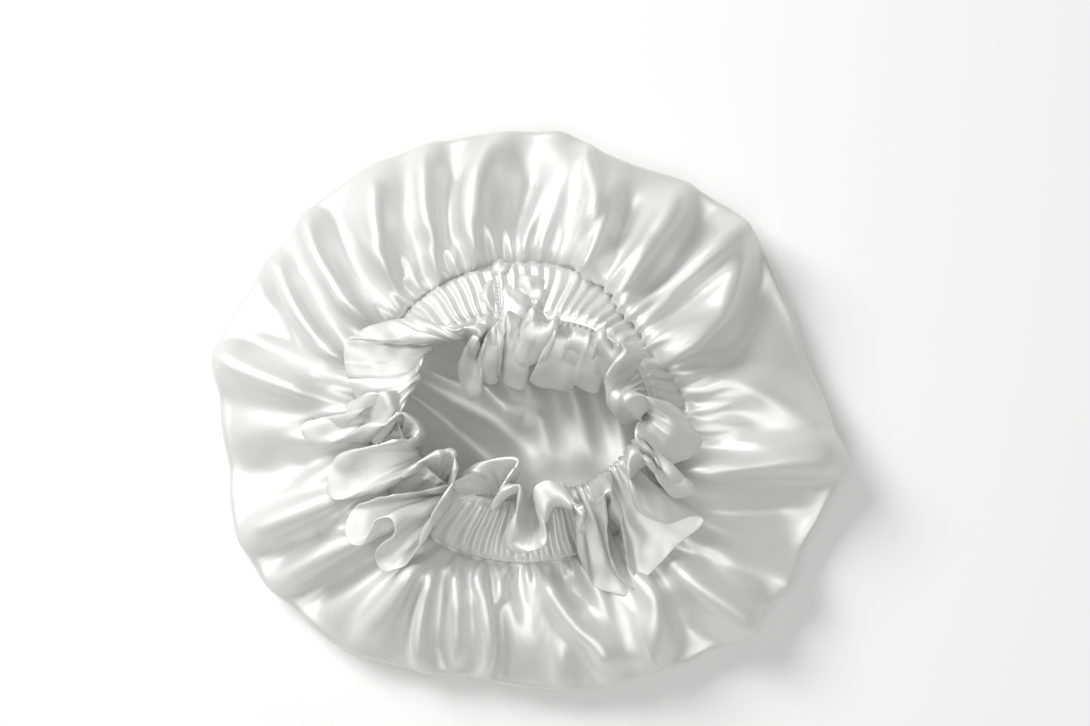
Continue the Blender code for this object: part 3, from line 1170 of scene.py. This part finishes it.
            row[:, 2] = self.wall / 2 + self._floor_lift(row)
            rings.append(cloth.ring(row))
        for first, second in zip(rings, rings[1:]):
            cloth.join(first, second)
        middle = np.zeros((1, 3))
        cloth.fan(rings[-1], middle[0] + UP * (self.wall / 2 + self._floor_lift(middle)))
        return cloth.make("crown_satin", material)

    def _floor_lift(self, points: np.ndarray) -> np.ndarray:
        """How far the floor inside the crown is raised by its soft folds.

        Args:
            points: places seen from above, in metres.

        Returns:
            The height at each point, in metres.
        """
        lift = fold_height(points, FLOOR_FOLDS)
        lift += self.floor_dent * (1 + soft_noise(points, self.floor_dent_pitch, 8))
        radius = np.hypot(points[:, 0], points[:, 1])
        return np.maximum(lift, 0) * (1 - smooth_step(*self.floor_calm, radius))


# The casing


@dataclass
class Casing:
    """The gathered tunnel of satin round the elastic."""

    form: Form
    gathers: Gathers
    columns: int = 720
    rows: int = 26
    width: float = 0.030
    half_thickness: float = 0.0021
    fold_half: float = 0.0010
    rib_height: float = 0.0022
    rib_sway: float = 0.8
    rib_start: Span = (0.0, 0.16)
    rib_end: Span = (0.84, 1.0)
    least_rib: float = 0.15
    fold_reach: float = 0.6
    swell: float = 0.0006
    cloth: float = 0.0007

    def surface(self, bearings: np.ndarray, along: float, side: int) -> np.ndarray:
        """Points of the casing's outside.

        Args:
            bearings: where round the opening.
            along: how far from the seam, in metres.
            side: 1 for the layer that faces up, -1 for the one below.

        Returns:
            The points.
        """
        share = along / self.width
        wave = self.gathers.wave(bearings + self.rib_sway * math.sin(5 * share))
        low = float(smooth_step(*self.rib_start, share))
        high = 1 - float(smooth_step(*self.rib_end, share))
        height = self.fold_half + (self.half_thickness - self.fold_half) * high
        height *= math.sqrt(min(1.0, 0.02 + share / 0.05))
        swell = self.swell * math.sin(math.pi * share)
        rib = self.rib_height * wave * (self.least_rib + (1 - self.least_rib) * low) * high
        return self.form.band(bearings).point(along, side * (height + swell + rib))

    def build(self, material: bpy.types.Material) -> bpy.types.Object:
        """Makes the casing.

        Args:
            material: its satin.

        Returns:
            The casing's object.
        """
        bearings = evenly(self.columns)
        steps = np.linspace(0, 1, self.rows)
        up = [self.surface(bearings, self.width * step, 1) for step in steps]
        fold = []
        for angle in (45, 0, -45):
            way = math.radians(angle)
            along = self.width + self.fold_reach * self.fold_half * math.cos(way)
            fold.append(self.form.band(bearings).point(along, self.fold_half * math.sin(way)))
        down = [self.surface(bearings, self.width * step, -1) for step in steps[::-2]]
        casing = grid_of(up + fold + down).make("casing_satin", material)
        add_wall(casing, self.cloth, -1.0)
        return casing


# The ruffle


class FrillEdge(NamedTuple):
    """A point on the ruffle's free edge, and the bearing on the casing that its cloth comes from.

    x, y and z are in millimetres. The rows follow the edge anticlockwise from the join.
    """

    bearing: float
    x: float
    y: float
    z: float


FRILL_EDGE = tuple(
    FrillEdge(*row)
    for row in (
        (93.8, -13.9, 25.4, 45.5), (95, -14.7, 18.6, 46), (96.3, -12.8, 11.1, 44.5),
        (97.1, -14.6, 8.9, 45.5), (98.5, -19.5, 15.9, 47.5), (99.2, -21.3, 14.7, 47.5),
        (100.2, -18.3, 10.7, 46), (101.4, -14.2, 7.3, 43.5), (102.5, -19.2, 5.2, 44.5),
        (103.6, -23.2, 9.8, 46.5), (104.3, -25.4, 10, 47), (105.9, -23, 4.2, 42.5),
        (106.9, -23.7, 1.2, 40.5), (108.1, -27.9, -1.8, 37.5), (109.2, -31.1, 1.8, 39.5),
        (111.2, -33.8, 10.8, 45.5), (112.2, -32.2, 15.8, 47), (113.3, -26.6, 14.3, 47.5),
        (114.3, -23.5, 18.7, 48.5), (115.2, -25.2, 22.4, 48.5), (116.6, -32.9, 26.5, 48.5),
        (117.6, -38.5, 27.3, 49), (118.4, -40.3, 24.1, 48.5), (121.7, -45, 31.4, 54),
        (125.4, -51.6, 35.5, 56), (129.5, -60.6, 34.9, 58), (133.4, -69, 33.4, 59),
        (137.4, -77.4, 30.5, 60), (140.9, -83.2, 26.7, 62), (143.9, -87, 23.2, 63),
        (147.3, -88.2, 16.8, 61), (151.2, -86.9, 8.7, 58), (155.4, -83.9, -0.1, 56),
        (160, -79.8, -10.1, 53), (164.5, -75.7, -19.5, 50), (168.1, -72.8, -25.8, 47),
        (170.9, -77.1, -20.9, 47), (172.4, -80.9, -12.3, 47), (173.7, -83.2, -5.1, 47),
        (174.7, -86.9, -4.1, 46), (175.9, -88.5, -10, 44), (177.1, -90.3, -16.1, 42),
        (178.6, -99.2, -13.2, 42), (180, -107.3, -12, 41), (181.1, -111.5, -15.8, 41),
        (182.3, -108.5, -21.6, 40), (183.7, -100.4, -24.9, 40), (185.6, -88, -22.3, 42),
        (187.3, -76.6, -23.6, 46), (189.1, -68.7, -13.1, 48), (190.3, -64.6, -8.8, 46),
        (191.9, -57.5, -12.2, 42), (193.4, -51.9, -16.4, 37), (194.9, -50.6, -22.7, 33),
        (196.3, -55.4, -29.1, 34), (198.3, -63.3, -29.6, 43), (200.1, -72.3, -27.7, 52),
        (201.8, -82.5, -28.7, 53), (203.4, -91.6, -31.3, 52), (205, -95.5, -39.6, 50),
        (206.5, -96.5, -48.5, 48), (207.7, -92.2, -52.1, 48), (209.6, -80.5, -50.6, 51),
        (211.6, -68, -48.1, 56), (213.2, -61, -44.6, 62), (215.5, -56.6, -39.9, 66),
        (217.6, -48.4, -34.6, 66), (219.9, -38.1, -31.8, 63), (221.8, -36.5, -38.9, 60),
        (224.1, -37.4, -49.4, 57), (226, -39.5, -56.6, 54), (227.9, -43.8, -60.9, 58),
        (229.2, -49.3, -67.4, 58), (230.7, -52.9, -77.2, 53), (232.2, -59.9, -83.4, 47),
        (233.5, -68.6, -86.7, 43), (234.8, -73, -80.3, 46), (236.2, -69.6, -74.3, 54),
        (237.7, -62, -68.8, 60), (238.8, -64.3, -61.8, 62), (240, -71.6, -63.1, 60),
        (241.4, -76, -70.9, 56), (242.6, -80.8, -74.6, 50), (243.8, -86.5, -71.3, 47),
        (245, -87.1, -63, 48), (246.3, -81.7, -55.9, 50), (247.9, -70.4, -52.3, 56),
        (249.3, -62.1, -51.1, 62), (251.3, -44.4, -46.3, 50), (253, -36.6, -43.2, 50),
        (254.4, -32.8, -43.7, 54), (256.1, -27.2, -37.7, 54), (258.1, -16.6, -37.4, 52),
        (260.1, -6.3, -38.5, 54), (261.6, -3.5, -41.7, 58), (263.6, -10.3, -49.3, 62),
        (265.8, -17.3, -57.7, 58), (267.4, -11.8, -54.1, 62), (269.3, -3.8, -49.5, 64),
        (271, -5, -56.9, 60), (273.1, -8.9, -66.7, 56), (275.7, -9.6, -75.5, 54),
        (277.6, -4.4, -77.9, 54), (280.4, 3.9, -73.4, 58), (282.9, 6.3, -65.4, 62),
        (285.7, 4, -56.3, 66), (288.2, 4, -48.4, 70), (290.5, 11.1, -45.4, 72),
        (292.8, 18.1, -48.4, 70), (294.9, 15.8, -46.3, 68), (295.8, 19.8, -48.7, 68),
        (296.9, 22.4, -53.2, 66), (298.4, 23, -62.2, 60), (300, 23.5, -71.9, 54),
        (301.7, 26.2, -81.7, 48), (303.3, 30.8, -90.6, 42), (304.3, 34.1, -94.1, 40),
        (305.6, 41.6, -95.9, 38), (306.9, 50, -97.7, 36), (308, 55.8, -96.3, 37),
        (309.4, 49.1, -93, 42), (310.8, 43.1, -87.4, 46), (312.3, 39.2, -79.1, 50),
        (313.7, 36.4, -71.2, 54), (315.2, 34.2, -62.2, 60), (316.6, 32.7, -55.9, 66),
        (317.4, 34, -53.7, 67), (318.1, 36.8, -52.8, 67), (318.9, 38.7, -54.2, 66),
        (320.1, 38.3, -59.5, 61), (321.4, 43.1, -64.6, 57), (322.7, 47, -72.6, 54),
        (324.1, 48.2, -81.6, 47), (325.5, 54.4, -90.1, 40), (326.9, 62.9, -83.4, 43),
        (328.5, 72.5, -73.3, 46), (330.1, 83.8, -64.5, 48), (330.9, 85.4, -59.8, 49),
        (332.1, 77.5, -60.3, 54), (333.5, 68.2, -64.5, 60), (334.7, 59.2, -62.8, 63),
        (335.8, 52.7, -58.6, 65), (337, 49.5, -50.6, 67), (338, 50, -43.3, 68),
        (338.9, 53.7, -38.6, 69), (339.8, 59.1, -38.5, 69), (340.7, 63.2, -42.5, 67),
        (341.7, 65.7, -48.9, 64), (342.6, 70.3, -52, 61), (343.7, 77.3, -51.5, 59),
        (344.4, 80.7, -48.4, 59), (345.2, 79, -45.1, 60), (346.1, 74.5, -48.9, 60),
        (346.7, 71.4, -48.5, 60), (347.6, 69.1, -43, 60), (348.5, 66, -38.4, 61),
        (349.4, 60.9, -36.1, 62), (350.1, 57.6, -34.1, 63), (350.8, 58.1, -31.4, 63),
        (351.5, 61.3, -30.1, 62), (353.2, 66.6, -35.9, 58), (355.2, 73.8, -34.1, 54),
        (357.1, 80.9, -30.7, 52), (358.9, 84, -24.2, 53), (360.6, 81, -19.4, 56),
        (362.6, 76.3, -13.4, 60), (364.5, 70.7, -8.3, 63), (366.4, 63.7, -7.1, 65),
        (368.1, 57.5, -10.5, 66), (369.7, 53.8, -14.6, 66), (371.1, 56.3, -16.1, 62),
        (373.6, 54, -14, 52), (375.8, 49.4, -15.1, 46), (377.6, 45, -13.3, 44),
        (379.7, 43.3, -7, 46), (382.4, 45.1, 2.3, 50), (385.2, 50.8, 10.5, 55),
        (388, 57.5, 17.6, 60), (389.9, 53.4, 20.9, 62), (392.3, 47.3, 21.1, 62),
        (394, 45.6, 15.3, 60), (396.1, 44.3, 8, 55), (398.3, 41.7, 2.7, 47.5),
        (399.7, 38, 4.2, 48.5), (402, 33, 11.1, 51.5), (403.4, 30.5, 14.3, 52),
        (405.5, 31.1, 8.3, 48.5), (407.8, 35.8, 2.7, 44.5), (409.4, 32.2, 1.7, 42.5),
        (411.1, 26, 4.2, 42.5), (413.1, 19.8, 8.4, 44), (415, 12.8, 11.1, 45.5),
        (416.8, 17.8, 6.3, 42.5), (418.3, 23.3, 4.4, 40.5), (419.5, 19.5, 2.6, 40),
        (421.1, 12.8, 3.5, 41.5), (422.5, 7.1, 4.2, 42.5), (423.9, 3, 5.5, 44.5),
        (425.1, 1.3, 7.4, 46.5), (426.6, 6.3, 10.4, 48.5), (427.9, 9.7, 13.9, 49.5),
        (429.1, 6.3, 16, 50.5), (430.5, 0.6, 13.5, 50.5), (431.7, -3.5, 14, 51),
        (432.8, -5.9, 16.8, 51.5), (434.3, -4.9, 23.3, 52.5), (435.9, -3.8, 30.4, 53.5),
        (436.9, -2.2, 32.9, 54), (437.7, -0.2, 32.2, 53.5), (439, -0.9, 27.8, 52.5),
        (440.7, -4.3, 20.6, 51), (443, -0.3, 12.7, 46.5), (444.8, 0, 8, 42.5),
        (446.4, -2.1, 3.5, 39.5), (447.5, -5.8, 3.9, 39.5), (449.1, -11.1, 6.9, 41.5),
        (450.6, -12.5, 12.5, 43.5), (452.3, -13.3, 20.5, 45),
    )
)


class FrillBow(NamedTuple):
    """The way that the ruffle arches between stitching and free edge: 0 inward, 90 up, 180 out."""

    bearing: float
    angle: float


FRILL_BOW = (
    FrillBow(98, 112),
    FrillBow(118, 85),
    FrillBow(135, 35),
    FrillBow(150, 30),
    FrillBow(166, 60),
    FrillBow(180, 95),
    FrillBow(195, 80),
    FrillBow(208, 100),
    FrillBow(222, 75),
    FrillBow(238, 95),
    FrillBow(262, 65),
    FrillBow(284, 140),
    FrillBow(305, 115),
    FrillBow(330, 90),
    FrillBow(355, 70),
    FrillBow(380, 60),
    FrillBow(400, 100),
    FrillBow(435, 115),
)


def blurred(rows: np.ndarray, times: int) -> np.ndarray:
    """A closed row of values or points, smoothed that many times along its first axis.

    Args:
        rows: the row's values or points.
        times: how often they are smoothed.

    Returns:
        The smoothed row.
    """
    for _ in range(times):
        rows = (np.roll(rows, 1, axis=0) + 2 * rows + np.roll(rows, -1, axis=0)) / 4
    return rows


@dataclass
class Ruffle:
    """The doubled satin frill on the casing's inner edge."""

    form: Form
    columns: int = 1500
    rows: int = 20
    casing_width: float = 0.030
    clearance: float = 0.0006
    header: float = 0.0030
    depth: float = 0.0450
    half_wall: float = 0.0004
    edge_half: float = 0.00042
    pleat_height: float = 0.0010
    pleats: int = 104
    pleat_start: Span = (0.0, 0.05)
    pleat_end: Span = (0.10, 0.42)
    creases: int = 210
    crease_seed: int = 41
    crease_widths: Span = (0.35, 1.1)
    crease_height: float = 0.0021
    crease_roundness: float = 1.4
    crease_start: Span = (0.04, 0.3)
    crease_lost: float = 0.7
    crumple: float = 0.0004
    crumple_pitch: float = 0.013
    crumple_start: Span = (0.1, 0.5)
    edge_start: float = 0.80
    most_rise: float = 0.08
    halvings: int = 24

    def _mean(self, bearings: np.ndarray) -> np.ndarray:
        """The frill's middle surface, row by row, each strand as long as the frill is deep.

        Args:
            bearings: where round the opening, in degrees.

        Returns:
            The middle surface's rows of points, in metres.
        """
        where = [row.bearing for row in FRILL_EDGE]
        parts = [[getattr(row, name) * MM for row in FRILL_EDGE] for name in ("x", "y", "z")]
        lines = [closed_curve(where, part, bearings, swings=True) for part in parts]
        edge = blurred(np.stack(lines, axis=1), 3)
        bow = np.radians(column(FRILL_BOW, "angle", bearings))[:, None]
        band = self.form.band(bearings)
        start = self.casing_width + self.clearance
        head = band.point(start + self.header, 0.0)
        arch = UP * np.sin(bow) - level_way(bearings) * np.cos(bow)
        t = np.linspace(0, 1, self.rows)[:, None, None]

        def strands(rise: np.ndarray) -> np.ndarray:
            """The strands for that much rise."""
            return bend(head, (head + edge) / 2 + arch * rise[:, None], edge, t)

        low, high = np.zeros(len(bearings)), np.full(len(bearings), self.most_rise)
        for _ in range(self.halvings):
            rise = (low + high) / 2
            reach = np.linalg.norm(np.diff(strands(rise), axis=0), axis=2).sum(axis=0)
            long = reach > self.depth
            low, high = np.where(long, low, rise), np.where(long, rise, high)
        made = strands(blurred((low + high) / 2, 8))
        made = np.concatenate([band.point(start, 0.0)[None], made])
        share = np.linspace(0, 1, len(made))[:, None]
        fade = smooth_step(*self.pleat_start, share) * (1 - smooth_step(*self.pleat_end, share))
        pleat = self.pleat_height * np.sin(np.radians(bearings) * self.pleats)
        made = made + band.normal * (fade * pleat)[..., None]
        crease = self._creases(bearings) * smooth_step(*self.crease_start, share)
        crease *= 1 - self.crease_lost * share
        crumple = self.crumple * soft_noise(made, self.crumple_pitch, 31, 9)
        crumple *= smooth_step(*self.crumple_start, share)
        return made + normals(made) * (crease + crumple)[..., None]

    def _creases(self, bearings: np.ndarray) -> np.ndarray:
        """Seeded creases that run from the gathers towards the free edge.

        Args:
            bearings: where round the opening, in degrees.

        Returns:
            The height at each bearing, in metres.
        """
        draw = np.random.default_rng(self.crease_seed)
        total = np.zeros(len(bearings))
        for _ in range(self.creases):
            off = (bearings - draw.uniform(0, 360) + 180) % 360 - 180
            wide = draw.uniform(*self.crease_widths)
            total += draw.uniform(-1, 1) * np.exp(-((np.abs(off) / wide) ** self.crease_roundness))
        return self.crease_height * total

    def build(self, material: bpy.types.Material) -> bpy.types.Object:
        """Makes the ruffle.

        Args:
            material: its satin.

        Returns:
            The ruffle's object.
        """
        mean = self._mean(evenly(self.columns))
        normal = normals(mean)
        swell = smooth_step(self.edge_start, 1.0, np.linspace(0, 1, len(mean)))[:, None, None]
        half = self.half_wall + (self.edge_half - self.half_wall) * swell
        rows = list(mean + normal * half)
        out = unit(mean[-1] - mean[-2])
        for angle in (60, 30, 0, -30, -60):
            way = math.radians(angle)
            turned = out * math.cos(way) + normal[-1] * math.sin(way)
            rows.append(mean[-1] + turned * self.edge_half)
        rows += list((mean - normal * half)[::-1])
        return grid_of(rows + [rows[0]]).make("ruffle_satin", material)


# The join and the stitching


class Puff(NamedTuple):
    """A fold of cloth that stands proud at the join, as seen from above, in millimetres.

    It runs from a top point to an end point, between a left and a right side given half way.
    """

    top_x: float
    top_y: float
    end_x: float
    end_y: float
    left_x: float
    left_y: float
    right_x: float
    right_y: float
    rise: float


JOIN_PUFFS = (
    Puff(-15.7, 59.7, -12.6, 28.8, -15.0, 44.2, 6.0, 44.4, 3.8),
    Puff(-20.1, 41.8, -16.6, 28.3, -27.2, 34.0, -13.4, 35.0, 5.0),
    Puff(-17.6, 60.7, -15.5, 39.5, -25.2, 49.4, -14.2, 49.4, 4.5),
    Puff(-13.6, 71.0, -15.1, 59.5, -19.1, 66.0, -8.0, 66.5, 3.0),
    Puff(-2.9, 64.8, 6.2, 43.0, -4.7, 54.1, 10.7, 55.9, 3.8),
)


@dataclass
class Join:
    """The overlocked join of the casing's ends, gathered up at the middle of the far side."""

    form: Form
    rows: int = 30
    columns: int = 22
    lift: float = 0.0034
    sink: float = 0.0040
    dome_power: float = 0.45
    dent: float = 0.16
    crumple: float = 0.0004
    crumple_pitch: float = 0.008
    zigzags: int = 26
    zigzag_span: Span = (0.06, 0.94)
    zigzag_width: float = 0.0011
    zigzag_rise: float = 0.0034

    def _base(self, x: np.ndarray, y: np.ndarray) -> np.ndarray:
        """Height of the casing's upper face at places near the join, in metres.

        Args:
            x: places to the right, in metres.
            y: places away from the viewer.

        Returns:
            The height at each place.
        """
        band = self.form.band(np.array([90.0]))
        seam, up_width = band.seam[0], band.up_width[0]
        rise = up_width[2] / -up_width[1]
        return seam[2] + self.lift + np.clip(seam[1] - y, -0.002, 1.0) * rise

    def build(self, material: bpy.types.Material) -> bpy.types.Object:
        """Makes the puffs of cloth at the join.

        Args:
            material: their satin.

        Returns:
            One object that holds them all.
        """
        cloth = Cloth()
        t = np.linspace(0, 1, self.rows)[:, None]
        across = np.linspace(0, 1, self.columns)[None, :]
        for number, puff in enumerate(JOIN_PUFFS):
            sides = []
            for side_x, side_y in ((puff.left_x, puff.left_y), (puff.right_x, puff.right_y)):
                pull_x = pull_through(puff.top_x, side_x, puff.end_x)
                pull_y = pull_through(puff.top_y, side_y, puff.end_y)
                x = bend(puff.top_x, pull_x, puff.end_x, t)
                y = bend(puff.top_y, pull_y, puff.end_y, t)
                sides.append((x * MM, y * MM))
            (left_x, left_y), (right_x, right_y) = sides
            x = left_x + (right_x - left_x) * across
            y = left_y + (right_y - left_y) * across
            dome = (np.sin(math.pi * across) * np.sin(math.pi * t)) ** self.dome_power
            dent = 1 + self.dent * np.sin(9 * across + 5 * t + number) * across
            height = puff.rise * MM * dome * dent - self.sink * (1 - dome)
            grid = np.stack([x, y, self._base(x, y) + height], axis=-1)
            noise = soft_noise(grid, self.crumple_pitch, 51 + number)
            grid += self.crumple * noise[..., None]
            rings = [cloth.ring(row) for row in grid]
            for first, second in zip(rings, rings[1:]):
                cloth.join(first, second, closed=False)
        return cloth.make("join_satin", material)

    def overlock(self) -> list[np.ndarray]:
        """The zigzag of the overlocking along the join, as one thread.

        Returns:
            The path of each thread, in metres.
        """
        t = np.linspace(*self.zigzag_span, self.zigzags)
        puff = JOIN_PUFFS[0]
        x = (puff.top_x + (puff.end_x - puff.top_x) * t) * MM
        y = (puff.top_y + (puff.end_y - puff.top_y) * t) * MM
        side = np.where(np.arange(self.zigzags) % 2, 1.0, -1.0) * self.zigzag_width
        height = self._base(x, y) + self.zigzag_rise * np.sin(math.pi * t) ** 0.5
        return [np.stack([x + side, y, height], axis=1)]


@dataclass
class Stitching:
    """Rows of thread along the casing's two edges, and the overlocking at the join."""

    casing: Casing
    join: Join
    radius: float = 0.00022
    stitch: float = 0.0024
    gap: float = 0.0008
    rows: tuple[float, ...] = (0.0016, 0.0272)
    sides: int = 5
    end_share: float = 0.35
    proud: float = 0.00015
    arch: float = 0.00012
    line_points: int = 3600

    def _tube(self, cloth: Cloth, path: np.ndarray) -> None:
        """Adds a round thread along a path, its ends drawn to points.

        Args:
            cloth: what the thread is added to.
            path: the thread's middle line.
        """
        way = unit(np.gradient(path, axis=0))
        across = unit(np.cross(way, UP) + 1e-9)
        above = np.cross(across, way)
        rings = []
        for i in range(len(path)):
            thin = self.end_share if i in (0, len(path) - 1) else 1.0
            turns = np.radians(evenly(self.sides))[:, None]
            out = np.cos(turns) * across[i] + np.sin(turns) * above[i]
            rings.append(cloth.ring(path[i] + out * self.radius * thin))
        for first, second in zip(rings, rings[1:]):
            cloth.join(first, second)

    def build(self, material: bpy.types.Material) -> bpy.types.Object:
        """Makes all the thread that shows.

        Args:
            material: the thread's.

        Returns:
            One object that holds all stitches.
        """
        cloth = Cloth()
        around = evenly(self.line_points)
        for along in self.rows:
            line = self.casing.surface(around, along, 1) + UP * self.proud
            step = np.linalg.norm(np.roll(line, -1, axis=0) - line, axis=1)
            far = np.concatenate([[0.0], np.cumsum(step)])
            count = int(far[-1] / (self.stitch + self.gap))
            for number in range(count):
                start = far[-1] * number / count
                at = start + np.linspace(0, self.stitch, 4)
                path = np.stack([np.interp(at, far[:-1], line[:, i]) for i in range(3)], axis=1)
                path[1:-1, 2] += self.arch
                self._tube(cloth, path)
        for path in self.join.overlock():
            self._tube(cloth, path)
        return cloth.make("seam_thread", material)


# The studio

Place = tuple[float, float, float]


@dataclass
class Studio:
    """Floor, lights and camera."""

    target: Place = (0.0087, 0.0215, 0.012)
    elevation: float = 80.0
    lens: float = 60.0
    sensor_width: float = 36.0
    view_width: float = 0.556
    floor_half: float = 3
    key_place: Place = (-1.15, 0.90, 1.35)
    key_size: float = 1.0
    key_power: float = 35.5
    fill_place: Place = (0.15, -0.6, 1.85)
    fill_size: float = 1.4
    fill_power: float = 15.0
    world_light: float = 0.30

    def build(self) -> bpy.types.Object:
        """Makes the floor, the lights and the camera.

        Returns:
            The floor.
        """
        far = self.floor_half
        edges = [np.array([[-far, y, 0], [far, y, 0]], dtype=float) for y in (-far, far)]
        floor = grid_of(edges, closed=False).make("floor", PaleFloor().material())
        self._light("key", self.key_place, self.key_size, self.key_power)
        self._light("fill", self.fill_place, self.fill_size, self.fill_power)
        world = bpy.data.worlds.new("studio")
        world.use_nodes = True
        background = world.node_tree.nodes["Background"]
        background.inputs["Color"].default_value = (1.0, 1.0, 1.0, 1.0)
        background.inputs["Strength"].default_value = self.world_light
        scene = bpy.context.scene
        scene.world = world
        scene.view_settings.view_transform = "Standard"
        scene.view_settings.look = "None"
        self._camera()
        return floor

    def _light(self, name: str, place: Place, size: float, power: float) -> None:
        """Adds a soft square light that faces the bonnet.

        Args:
            name: its name.
            place: its place, in metres.
            size: the length of its sides, in metres.
            power: its power in watts.
        """
        data = bpy.data.lights.new(name, "AREA")
        data.size = size
        data.energy = power
        light = bpy.data.objects.new(name, data)
        light.location = place
        light.rotation_euler = (-Vector(place)).to_track_quat("-Z", "Y").to_euler()
        bpy.context.scene.collection.objects.link(light)

    def _camera(self) -> None:
        """Adds the camera at the photograph's angle."""
        data = bpy.data.cameras.new("camera")
        data.lens = self.lens
        data.sensor_width = self.sensor_width
        distance = self.view_width * self.lens / self.sensor_width
        tilt = math.radians(self.elevation)
        back = Vector((0.0, -math.cos(tilt), math.sin(tilt)))
        camera = bpy.data.objects.new("camera", data)
        camera.location = Vector(self.target) + back * distance
        camera.rotation_euler = (-back).to_track_quat("-Z", "Y").to_euler()
        bpy.context.scene.collection.objects.link(camera)
        bpy.context.scene.camera = camera


def keep(obj: bpy.types.Object, slot: str, *nodes: str) -> None:
    """Puts a piece on the bonnet's one body, in place of CAD nodes, and logs it.

    Args:
        obj: the piece.
        slot: the record's material slot; it is not used.
        nodes: the CAD nodes that it stands for.
    """
    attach(obj, "root")
    if nodes:
        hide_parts(*nodes)
    LOG.info("%s: %d faces", obj.name, len(obj.data.polygons))


def main() -> None:
    """Builds the pieces in order, then the studio."""
    logging.basicConfig(level=logging.INFO, format="%(name)s: %(message)s")
    form = Form()
    gathers = Gathers()
    satin = Satin().material()
    crown = Crown(form, gathers).build(satin)
    keep(crown, "satin", "crown")
    casing = Casing(form, gathers).build(satin)
    keep(casing, "satin", "casing")
    ruffle = Ruffle(form).build(satin)
    keep(ruffle, "satin", "ruffle")
    join = Join(form)
    keep(join.build(satin), "satin")
    keep(Stitching(Casing(form, gathers), join).build(Thread().material()), "satin")
    elastic = bpy.data.objects["elastic"]
    elastic.material_slots[0].material = WovenElastic().material()
    Studio().build()


if __name__ == "__main__":
    main()
